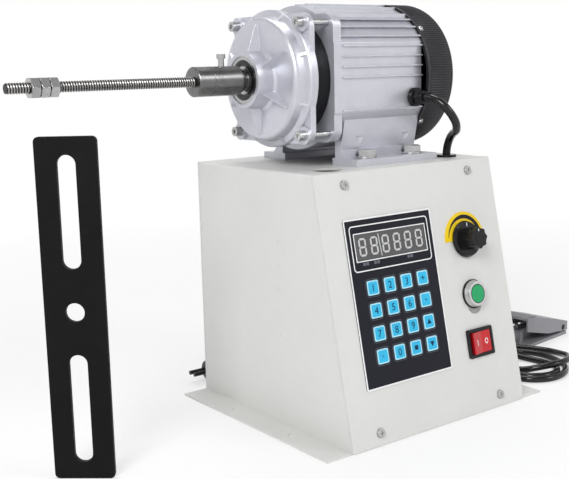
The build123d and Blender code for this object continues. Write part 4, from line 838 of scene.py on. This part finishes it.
@dataclass
class Cords:
    """The pedal's cord and the mains lead, with the lead's put-away coil behind the console."""

    diameter: float = 7.5
    rest: float = 3.8
    exit_y: float = 150.0
    exit_z: float = 34.0
    mains_x: float = 50.0
    pedal_x: float = 95.0
    coil_start: tuple[float, float] = (-15.0, 152.0)
    coil_radius: float = 47.3
    coil_layer: float = 8.1
    coil_turns_in: float = 1.5
    coil_tail: float = 42.0
    points_per_turn: int = 16
    mains_length: float = 2.06
    pedal_length: float = 0.56
    bevel_steps: int = 5
    curve_steps: int = 10

    def pedal_route(self) -> list[Place]:
        """The pedal cord's points, from the pedal round the floor to the back of the console.

        Returns:
            Control points in millimetres.
        """
        rest = self.rest
        return [
            (257.9, 10.4, 12.6), (243.0, 8.65, 12.6), (230.5, 1.5, 13), (222.5, -11.5, 12),
            (221.5, -29, 5.5), (228, -46.5, rest), (230, -62, rest), (230, -78, rest), (222, -91.5, rest),
            (208.5, -99.5, rest), (192.5, -99.5, rest), (179, -91.5, rest), (171, -78, rest),
            (169.5, -50, rest), (172.5, -4, rest), (171, 40, rest), (173, 84, rest), (176, 126, rest),
            (169, 156, rest), (152.5, 186, rest), (126.5, 199.5, 9), (103.5, 192, 22),
            (self.pedal_x, 168, self.exit_z), (self.pedal_x, self.exit_y, self.exit_z),
        ]

    def mains_route(self) -> list[Place]:
        """The mains lead's points, from the back of the console through its floor loops to the coil.

        Returns:
            Control points in millimetres.
        """
        rest = self.rest
        return [
            (self.mains_x, self.exit_y, self.exit_z), (self.mains_x, 168, self.exit_z), (57, 185, 28),
            (73, 201, 18), (99, 211, 8), (130, 210, rest), (160, 198, rest), (184, 176, rest),
            (196, 146, rest), (198, 111, rest), (203, 77, rest), (216, 48, rest), (234, 25, rest),
            (250, 3, rest), (262, -17, rest), (272, -37, rest), (270, -59, 5), (259, -77, 9),
            (244, -90.5, 12), (227, -96.5, 12.5), (209, -94, 12), (195, -84, 9), (185, -70, 4.5),
            (178.5, -48.5, rest), (183, -25.5, rest), (195, -11, rest), (212.5, -4.5, rest),
            (230.5, -7.5, rest), (245, -19, rest), (252.5, -36.5, rest), (252, -56, rest), (246, -76, rest),
            (234, -94, rest), (214, -107, rest), (191.5, -110, rest), (173.5, -102.5, rest),
            (161.5, -87, rest), (159, -62, rest), (162, -20, rest), (160.5, 28, rest), (163, 76, rest),
            (164, 116, rest), (158, 141, rest), (138, 156, rest), (108, 158, rest), (70, 154, rest),
            (32, self.coil_start[1], rest), (self.coil_start[0] + self.diameter, self.coil_start[1], rest),
        ]

    def coil_route(self) -> list[Place]:
        """The coil's points: a flat spiral inwards, a climb of one layer, and the spiral outwards on top.

        The radius falls by one layer a turn to the turning point and grows again after it, and the height
        follows a smooth step over the half turn round that point. The control polygon is drawn a little
        outside the turns, because the curve runs through the middles of its sides.

        Returns:
            Control points in millimetres.
        """
        turns = np.arange(0, 2 * self.coil_turns_in + 0.5 / self.points_per_turn, 1 / self.points_per_turn)
        inwards = np.minimum(turns, 2 * self.coil_turns_in - turns)
        outside = 8 / (6 + 2 * math.cos(2 * math.pi / self.points_per_turn))
        radius = (self.coil_radius - self.coil_layer * inwards) * outside
        climb = np.clip((4 * (turns - self.coil_turns_in) + 1) / 2, 0, 1)
        angle = -math.pi / 2 - 2 * math.pi * turns
        centre_x, centre_y = self.coil_start[0], self.coil_start[1] + self.coil_radius
        height = self.rest + self.coil_layer * climb**2 * (3 - 2 * climb)
        across, back = centre_x + radius * np.cos(angle), centre_y + radius * np.sin(angle)
        points = np.column_stack([across, back, height])
        top = float(height[-1])
        run_out = [(centre_x - self.coil_tail * share, self.coil_start[1], top) for share in (0.4, 1.0)]
        return [*map(tuple, points.tolist()), *run_out]

    def lay(
        self, name: str, route: list[Place], nodes: list[str]
    ) -> None:
        """Makes one cord as a round NURBS tube on its route, in place of its CAD solids.

        Args:
            name: The piece's name.
            route: Its control points, in millimetres, from the place where it leaves the machine.
            nodes: The CAD nodes that it stands for.
        """
        curve = bpy.data.curves.new(name, "CURVE")
        curve.dimensions, curve.bevel_depth = "3D", self.diameter / 2 * MM
        curve.bevel_resolution, curve.resolution_u = self.bevel_steps, self.curve_steps
        curve.use_fill_caps = True
        spline = curve.splines.new("NURBS")
        spline.points.add(len(route) - 1)
        points = np.column_stack([np.array(route) * MM, np.ones(len(route))])
        spline.points.foreach_set("co", points.ravel())
        spline.order_u = 3
        spline.use_endpoint_u = True
        cord = show_object(name, curve, CORD_JACKET, ROOT_BODY)
        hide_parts(*nodes)

    def build(self) -> None:
        """Lays both cords."""
        mains, plug = self.mains_route() + self.coil_route(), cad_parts["mains_plug"]
        self.lay("mains_lead", mains, ["mains_cord", "mains_coil"])
        self.lay("pedal_lead", self.pedal_route()[::-1], ["pedal_cord"])


# ---------------------------------------------------------------- control panel


class Legend(Enum):
    """A key's plain shape, by the letter that stands for it. Any other sign is written out."""

    UP = "u"
    DOWN = "d"
    SQUARE = "s"


@dataclass
class ControlPanel:
    """Printing, display and legends on the sloping front panel, in millimetres across and down it."""

    top_edge: Place = (0.0, -72.0, 256.0)
    lean: float = math.atan2(54.0, 256.0)
    overlay_size: tuple[float, float] = (114.5, 162.5)
    overlay_place: tuple[float, float] = (-36.0, 126.4)
    overlay_top: float = 0.8
    window_size: tuple[float, float] = (92.0, 25.2)
    window_down: float = 72.8
    window_proud: float = 0.5
    face_thickness: float = 0.25
    segment_thickness: float = 0.1
    mark_places: tuple[float, ...] = (-38.0, -34.0, -24.0, -20.0, 20.0, 24.0)
    mark_drop: float = 16.2
    digit_count: int = 6
    digit_size: Place = (7.4, 15.6, 1.9)
    digit_gap: float = 0.25
    print_height: float = 0.12
    key_count: int = 4
    key_place: tuple[float, float] = (-35.0, 145.4)
    key_pitch: float = 22.0
    key_top: float = 1.3
    key_field: float = 11.6
    key_ring: float = 17.4
    control_x: float = 66.0
    knob_down: float = 82.5
    knob_top: float = 21.0
    skirt_top: float = 6.0
    dial_radius: float = 23.6
    button_down: float = 139.5
    rocker_down: float = 189.8
    on_metal: float = 0.02
    legends: tuple[str, ...] = ("123+", "456-", "789u", ".0sd")

    def placed(self, points: np.ndarray, spot: Place) -> np.ndarray:
        """Puts a flat drawing on the panel: right is +X, up runs up the slope, and height stands out of it.

        Args:
            points: The drawing's points, in millimetres.
            spot: How far its middle lies across the panel, down it and out of it.

        Returns:
            The points in metres.
        """
        up = np.array([0, math.sin(self.lean), math.cos(self.lean)])
        out = np.array([0, -math.cos(self.lean), math.sin(self.lean)])
        start = np.array(self.top_edge) - up * spot[1] + out * spot[2] + np.array([spot[0], 0, 0])
        right = np.array([1.0, 0, 0])
        return (start + points[:, :1] * right + points[:, 1:2] * up + points[:, 2:3] * out) * MM

    def printed(
        self, name: str, shape: Shape, finish: Finish, spot: Place, body: str = ROOT_BODY
    ) -> None:
        """Turns a flat closed drawing into a piece on the panel.

        Args:
            name: The piece's name.
            shape: The drawing.
            finish: What it is finished with.
            spot: How far its middle lies across the panel, down it and out of it.
            body: The body that carries it.
        """
        mesh = closed_mesh(name, (self.placed(shape[0], spot), shape[1]), 20.0)
        show_object(name, mesh, finish, body)

    def flat(self, *outlines: np.ndarray) -> Shape:
        """Closed outlines as thick as a print."""
        return slab_stack(list(outlines), 0.0, self.print_height)

    def outline(
        self, size: tuple[float, float], radius: float, line: float, middle: Place = (0, 0, 0)
    ) -> Shape:
        """A printed line round a rounded rectangle: the ring between it and itself set in by a line's width.

        Args:
            size: The rectangle's width and height.
            radius: Its corners' radius.
            line: The line's width.
            middle: Where its middle lies in the drawing.

        Returns:
            The ring.
        """
        outer = rounded_rectangle(*size, radius)
        inner = rounded_rectangle(size[0] - 2 * line, size[1] - 2 * line, max(radius - line, 0.2))
        vertices, faces = ring_slab(outer, inner, 0.0, self.print_height)
        return vertices + np.array(middle), faces

    def key_middles(self) -> list[tuple[int, int, float, float]]:
        """Where the keys lie.

        Returns:
            Each key's row and column, and how far it lies right of the keys' middle and below it.
        """
        span = range(self.key_count)
        steps = [self.key_pitch * (place - (self.key_count - 1) / 2) for place in span]
        return [(row, column, steps[column], steps[row]) for row in span for column in span]

    def print_overlay(self) -> None:
        """Prints the overlay's border, two frames round its display, the key outlines and the small marks."""
        across, down = self.overlay_place
        (width, height), (wide, high) = self.overlay_size, self.window_size
        rise = down - self.window_down
        lines = [
            self.outline((width + 0.1, height + 0.1), 2.0, 1.5),
            self.outline((wide + 11, high + 19), 4.0, 1.1, (0, rise - 1.0, 0)),
            self.outline((wide + 2.4, high + 2.4), 0.8, 1.0, (0, rise, 0)),
        ]
        spot = (across, down, self.overlay_top)
        self.printed("overlay_lines", joined(lines), PRINT_WHITE, spot)
        ring = (self.key_ring, self.key_ring)
        middles = [(right, -below, 0) for _, _, right, below in self.key_middles()]
        rings = [self.outline(ring, 3.4, 0.35, middle) for middle in middles]
        spot = (*self.key_place, self.overlay_top)
        self.printed("key_outlines", joined(rings), PRINT_GREY, spot)
        dashes = self.flat(*(rounded_rectangle(3.2, 3.0, 0.5) + np.array([x, 0]) for x in self.mark_places))
        spot = (across, self.window_down + self.mark_drop, self.overlay_top)
        self.printed("display_marks", dashes, PRINT_GREY, spot)

    def light_display(self) -> None:
        """Builds the display's face, its unlit seven-bar digits, and the slanting line after the second."""
        width, height = self.window_size
        across, proud = self.overlay_place[0], self.window_proud
        face = slab_stack([rounded_rectangle(width - 0.4, height - 0.4, 0.5)], 0.0, self.face_thickness)
        self.printed("display_face", face, DISPLAY_GREY, (across, self.window_down, proud))
        places = np.arange(self.digit_count) - (self.digit_count - 1) / 2
        middles = places * width / (self.digit_count + 0.2)
        bars = [bar + np.array([middle, 0.0]) for middle in middles for bar in self.seven_bars()]
        bars.append(np.array([[-14.6, -10.8], [-13.6, -10.8], [-15.4, 10.8], [-16.4, 10.8]]))
        digits = slab_stack(bars, 0.0, self.segment_thickness)
        spot = (across, self.window_down, proud + self.face_thickness)
        self.printed("display_digits", digits, SEGMENT_GREY, spot)

    def seven_bars(self) -> list[np.ndarray]:
        """The seven bars of a digit: a long hexagon, laid flat at three heights and upright at four places.

        Returns:
            Their outlines about the digit's middle.
        """
        width, height, bar = self.digit_size
        half = bar / 2

        def hexagon(length: float) -> np.ndarray:
            """A bar of one length, pointed at both ends.

            Args:
                length: The length of the digit's side that it fills.

            Returns:
                Its outline about its own middle.
            """
            reach = length / 2 - self.digit_gap
            inner = reach - half
            lower = [[-reach, 0], [-inner, -half], [inner, -half]]
            return np.array(lower + [[reach, 0], [inner, half], [-inner, half]])

        standing = hexagon(height / 2)[:, ::-1] * np.array([-1, 1])
        flat = [hexagon(width) + np.array([0, y]) for y in (-height / 2, 0, height / 2)]
        columns, levels = (-width / 2, width / 2), (-height / 4, height / 4)
        return flat + [standing + np.array([x, y]) for x in columns for y in levels]

    def legend(self, sign: str) -> Shape:
        """Draws a key's legend.

        Args:
            sign: A digit or sign, or a plain shape's letter.

        Returns:
            The drawing.
        """
        shapes = {
            Legend.UP: [[-3, -2.2], [3, -2.2], [0, 2.8]],
            Legend.DOWN: [[-3, 2.2], [0, -2.8], [3, 2.2]],
            Legend.SQUARE: [[-2.2, -2.2], [2.2, -2.2], [2.2, 2.2], [-2.2, 2.2]],
        }
        if sign in {shape.value for shape in Legend}:
            return self.flat(np.array(shapes[Legend(sign)], float))
        vertices, faces = written(sign, 10.0, self.print_height)
        return vertices + np.array([0, 0, self.print_height / 2]), faces

    def print_keys(self) -> None:
        """Prints each key's blue field and its legend, which ride on the key."""
        for row, column, right, below in self.key_middles():
            key = f"key_r{row + 1}c{column + 1}"
            across, down = self.key_place[0] + right, self.key_place[1] + below
            blue, body = self.flat(rounded_rectangle(self.key_field, self.key_field, 1.4)), f"{key}_body"
            self.printed(f"{key}_field", blue, KEY_BLUE, (across, down, self.key_top), body)
            spot = (across, down, self.key_top + self.print_height)
            legend = self.legend(self.legends[row][column])
            self.printed(f"{key}_legend", legend, PRINT_INK, spot, body)

    def print_dial(self) -> None:
        """Prints the dial's band between two circles whose distance grows clockwise with the angle."""
        turn = np.radians(np.linspace(170.0, 2.0, 60))
        round_it = np.column_stack([np.cos(turn), np.sin(turn)])
        half = np.minimum(np.linspace(0.3, 4.0, 60), 2.0)[:, None]
        inner, outer = (self.dial_radius - half) * round_it, (self.dial_radius + half) * round_it
        edge = np.concatenate([inner, outer[::-1]])
        spot = (self.control_x, self.knob_down, 0.8)
        self.printed("dial_band", self.flat(edge), OVERLAY_BLACK, spot)

    def mark_knob(self) -> None:
        """Marks the knob's pointer: a white line on its cap and another out on its skirt."""
        for name, length, out, proud in (
            ("knob_pointer", 6.0, 6.2, self.knob_top), ("knob_skirt_line", 3.6, 15.0, self.skirt_top),
        ):
            line = self.flat(rounded_rectangle(1.0, length, 0.3) + np.array([0, out]))
            self.printed(name, line, PRINT_WHITE, (self.control_x, self.knob_down, proud), "knob")

    def trim_button(self) -> None:
        """Builds a black ring of painted shade in the gap round the button's cap, the bezel's gasket, and the
        tongue below the bezel.
        """
        x, down, unit = self.control_x, self.button_down, unit_circle(64)
        # Painted shade: this black ring stands in for the shadow in the gap between the cap and the bezel.
        ring = ring_slab(unit * 9.9, unit * 9.35, 0.0, 0.2)
        self.printed("button_gap_shade", ring, MOULDED_BLACK, (x, down, 7.5))
        gasket = ring_slab(unit * 15.0, unit * 14.05, 0.0, 1.5)
        self.printed("button_gasket", gasket, MOULDED_BLACK, (x, down, self.on_metal))
        sweep = np.linspace(math.pi, 2 * math.pi, 24)
        curve = np.array([[0.0, -12.0]]) + np.column_stack([9.2 * np.cos(sweep), 8.4 * np.sin(sweep)])
        tongue = slab_stack([np.concatenate([curve, [[9.2, -10.0], [-9.2, -10.0]]])], 0.0, 0.9)
        self.printed("button_tab", tongue, GASKET_GREY, (x, down, self.on_metal))

    def mark_rocker(self) -> None:
        """Marks the rocker: a ring on its pressed half and a bar on its raised one, each on its own slope.

        Each mark lies at one reach from the ridge along a face that leans by the tilt, and the whole rocker
        is turned by the tilt about its pivot.
        """
        pivot, crown, tilt, reach = -1.5, 3.9, math.radians(7.0), 7.4
        unit = unit_circle(40)
        ring = ring_slab(unit * np.array([2.3, 3.0]), unit * np.array([1.5, 2.2]), 0.0, self.print_height)
        bar = self.flat(rounded_rectangle(1.0, 6.4, 0.3))
        height = crown + reach * math.tan(tilt)
        for name, (vertices, faces), side in (("rocker_ring", ring, 1), ("rocker_bar", bar, -1)):
            slope = tilt * side - tilt
            cosine, sine = math.cos(slope), math.sin(slope)
            along = side * reach * math.cos(tilt) + height * math.sin(tilt)
            out = -side * reach * math.sin(tilt) + height * math.cos(tilt) + pivot
            shape = (vertices @ np.array([[cosine, 0, sine], [0, 1, 0], [-sine, 0, cosine]]), faces)
            spot = (self.control_x + along, self.rocker_down, out + self.on_metal)
            self.printed(name, shape, PRINT_WHITE, spot, "power_rocker")

    def build(self) -> None:
        """Builds everything on the panel."""
        self.print_overlay()
        self.light_display()
        self.print_keys()
        self.print_dial()
        self.mark_knob()
        self.trim_button()
        self.mark_rocker()


# ---------------------------------------------------------------- motor and spindle


@dataclass
class Motor:
    """Fine shapes on the motor and its spindle, in millimetres along and round its axis."""

    rod_ends: tuple[float, float] = (-367.0, -156.6)
    rod_radius: float = 5.0
    rod_chamfer: float = 0.9
    thread_pitch: float = 2.5
    thread_depth: float = 0.95
    rows_per_pitch: int = 8
    rod_columns: int = 32
    cover_span: tuple[float, float] = (61.2, 91.5)
    cover_radius: float = 74.5
    cover_ribs: int = 175
    columns_per_rib: int = 6
    rib_height: float = 0.75
    cover_screw_x: float = 63.5
    cover_screw_turns: tuple[float, ...] = (40.0, 140.0, 220.0, 320.0)
    gland_place: Place = (47.0, -34.0, 321.0)
    gland_length: float = 5.4
    seal_face: float = -123.6
    seal_inner: float = 13.8
    seal_outer: float = 19.7

    @staticmethod
    def around(x: np.ndarray | float, radius: np.ndarray, angle: np.ndarray) -> np.ndarray:
        """Points round the motor's axis.

        Args:
            x: How far along it they lie.
            radius: Their distance from it.
            angle: Their angle about it.

        Returns:
            The points, with the three coordinates last.
        """
        y, z = MOTOR_AXIS[0] + radius * np.cos(angle), MOTOR_AXIS[1] + radius * np.sin(angle)
        return np.stack([np.broadcast_to(x, y.shape), y, z], -1)

    def cut_thread(self) -> None:
        """Cuts the rod's thread: a triangle wave of x over the pitch, less the angle's share of a turn.

        The wave moves one pitch along for each turn about +X, which makes it right handed. Its tops and
        bottoms are cut flat, and the radius is held under a 45 degree cone at the free end.
        """
        (start, end), columns = self.rod_ends, self.rod_columns
        rows = int((end - start) / self.thread_pitch * self.rows_per_pitch)
        x = np.linspace(start, end, rows)[:, None]
        angle = (np.arange(columns) * 2 * math.pi / columns)[None, :]
        phase = x / self.thread_pitch - angle / (2 * math.pi)
        wave = np.abs(2 * (phase - np.floor(phase)) - 1)
        radius = self.rod_radius - self.thread_depth * np.clip(1.15 * wave - 0.05, 0, 1)
        radius = np.minimum(radius, self.rod_radius - self.rod_chamfer + (x - start))
        faces = grid_faces(rows, columns, False, True)
        faces += [list(range(columns)), list(range((rows - 1) * columns, rows * columns))]
        grid = self.around(x, radius, angle).reshape(-1, 3) * MM
        mesh = closed_mesh("rod_thread", (grid, faces), 30.0)
        rod = show_object("rod_thread", mesh, ROD_STEEL, "spindle")
        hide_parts("threaded_rod")

    def rib_cover(self) -> None:
        """Ribs the rear cover: a closed band whose outer radius rises by a sharpened cosine of the angle."""
        start, end = self.cover_span
        columns = self.cover_ribs * self.columns_per_rib
        angle = np.arange(columns) * 2 * math.pi / columns
        crest = (0.5 + 0.5 * np.cos(self.cover_ribs * angle)) ** 1.4
        rows = [(start, 0.0), (start + 0.5, 1.0), ((start + end) / 2, 1.0), (end - 0.5, 1.0), (end, 0.0)]
        loops = [(x, self.cover_radius - 0.1 + share * self.rib_height * crest) for x, share in rows]
        loops += [(x, np.full(columns, self.cover_radius - 0.6)) for x in (end, start)]
        grid = np.stack([self.around(x, radius, angle) for x, radius in loops]).reshape(-1, 3) * MM
        mesh = closed_mesh("cover_ribs", (grid, grid_faces(len(loops), columns, True, True)), 40.0)
        show_object("cover_ribs", mesh, COVER_BLACK, ROOT_BODY)

    def fit_cover_screws(self) -> None:
        """Fits four round-headed screws with washers into the cover's front lip, each a revolved dome."""
        washer = [[-1.0, 0.0], [-1.0, 3.6], [0.5, 3.6]]
        head = [[0.5, 2.5], [1.2, 2.4], [1.9, 1.8], [2.2, 0.9], [2.2, 0.0]]
        parts = []
        for degrees in self.cover_screw_turns:
            out = (0.0, math.cos(math.radians(degrees)), math.sin(math.radians(degrees)))
            rim = [centre + self.cover_radius * part for centre, part in zip(MOTOR_AXIS, out[1:])]
            foot = (self.cover_screw_x, *rim)
            parts.append(revolved(np.array(washer + head), foot, out, (1.0, 0.0, 0.0), 24, False))
        show_object("cover_screws", closed_mesh("cover_screws", joined(parts)), ZINC, ROOT_BODY)

    def seal_bearing(self) -> None:
        """Fits the output bearing's lip seal: a closed ring whose face bulges in a half wave across it."""
        across, width = np.linspace(0, 1, 9), self.seal_outer - self.seal_inner
        face = np.column_stack([-0.45 * np.sin(math.pi * across) - 0.05, self.seal_inner + width * across])
        profile = np.concatenate([face, [[0.7, self.seal_outer], [0.7, self.seal_inner]]])
        ring = revolved(profile, (self.seal_face, *MOTOR_AXIS), (1.0, 0.0, 0.0), (0.0, 1.0, 0.0), 64, True)
        show_object("bearing_seal", closed_mesh("bearing_seal", ring), CORD_JACKET, ROOT_BODY)

    def rib_gland(self) -> None:
        """Ribs the cable gland's body: a closed sleeve whose radius follows three waves along it."""
        along = np.linspace(0, self.gland_length, 37)
        wave = 8.95 + 0.75 * np.sin(3 * math.pi * along / self.gland_length) ** 2
        profile = np.concatenate([np.column_stack([along, wave]), [[self.gland_length, 8.2], [0.0, 8.2]]])
        sleeve = revolved(profile, self.gland_place, (0.0, -1.0, 0.0), (1.0, 0.0, 0.0), 48, True)
        show_object("gland_ribs", closed_mesh("gland_ribs", sleeve), MOULDED_BLACK, ROOT_BODY)

    def build(self) -> None:
        """Builds every fine shape."""
        self.cut_thread()
        self.rib_cover()
        self.fit_cover_screws()
        self.seal_bearing()
        self.rib_gland()


@dataclass
class Pedal:
    """Fine shapes on the foot pedal, in millimetres along and across it."""

    centre: tuple[float, float] = (313.1, 29.0)
    turn: float = math.radians(6.7)
    pin_along: float = 37.0
    pin_height: float = 10.5
    half_width: float = 32.0

    def build(self) -> None:
        """Caps both ends of the hinge pin with revolved domes whose height falls with the radius squared."""
        along = np.array([math.cos(self.turn), math.sin(self.turn), 0.0])
        across = np.array([-math.sin(self.turn), math.cos(self.turn), 0.0])
        share = np.linspace(1.0, 0.0, 7)
        dome = np.column_stack([1.0 - 0.7 * share**2, 3.6 * share])
        profile = np.concatenate([[[-0.4, 0.0], [-0.4, 3.6]], dome])
        pin = np.array([*self.centre, self.pin_height]) + along * self.pin_along
        parts = []
        for side in (-1.0, 1.0):
            foot = pin + across * side * self.half_width
            parts.append(revolved(profile, tuple(foot), tuple(across * side), (0.0, 0.0, 1.0), 32, False))
        mesh = closed_mesh("pedal_pin_caps", joined(parts))
        show_object("pedal_pin_caps", mesh, MOULDED_BLACK, "treadle")


def main() -> None:
    """Builds the studio and every class of pieces."""
    logging.basicConfig(level=logging.INFO, format="%(name)s: %(message)s")
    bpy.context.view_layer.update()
    Studio().build()
    dress_frame()
    Cords().build()
    ControlPanel().build()
    Motor().build()
    Pedal().build()
    bpy.context.view_layer.update()


if __name__ == "__main__":
    main()
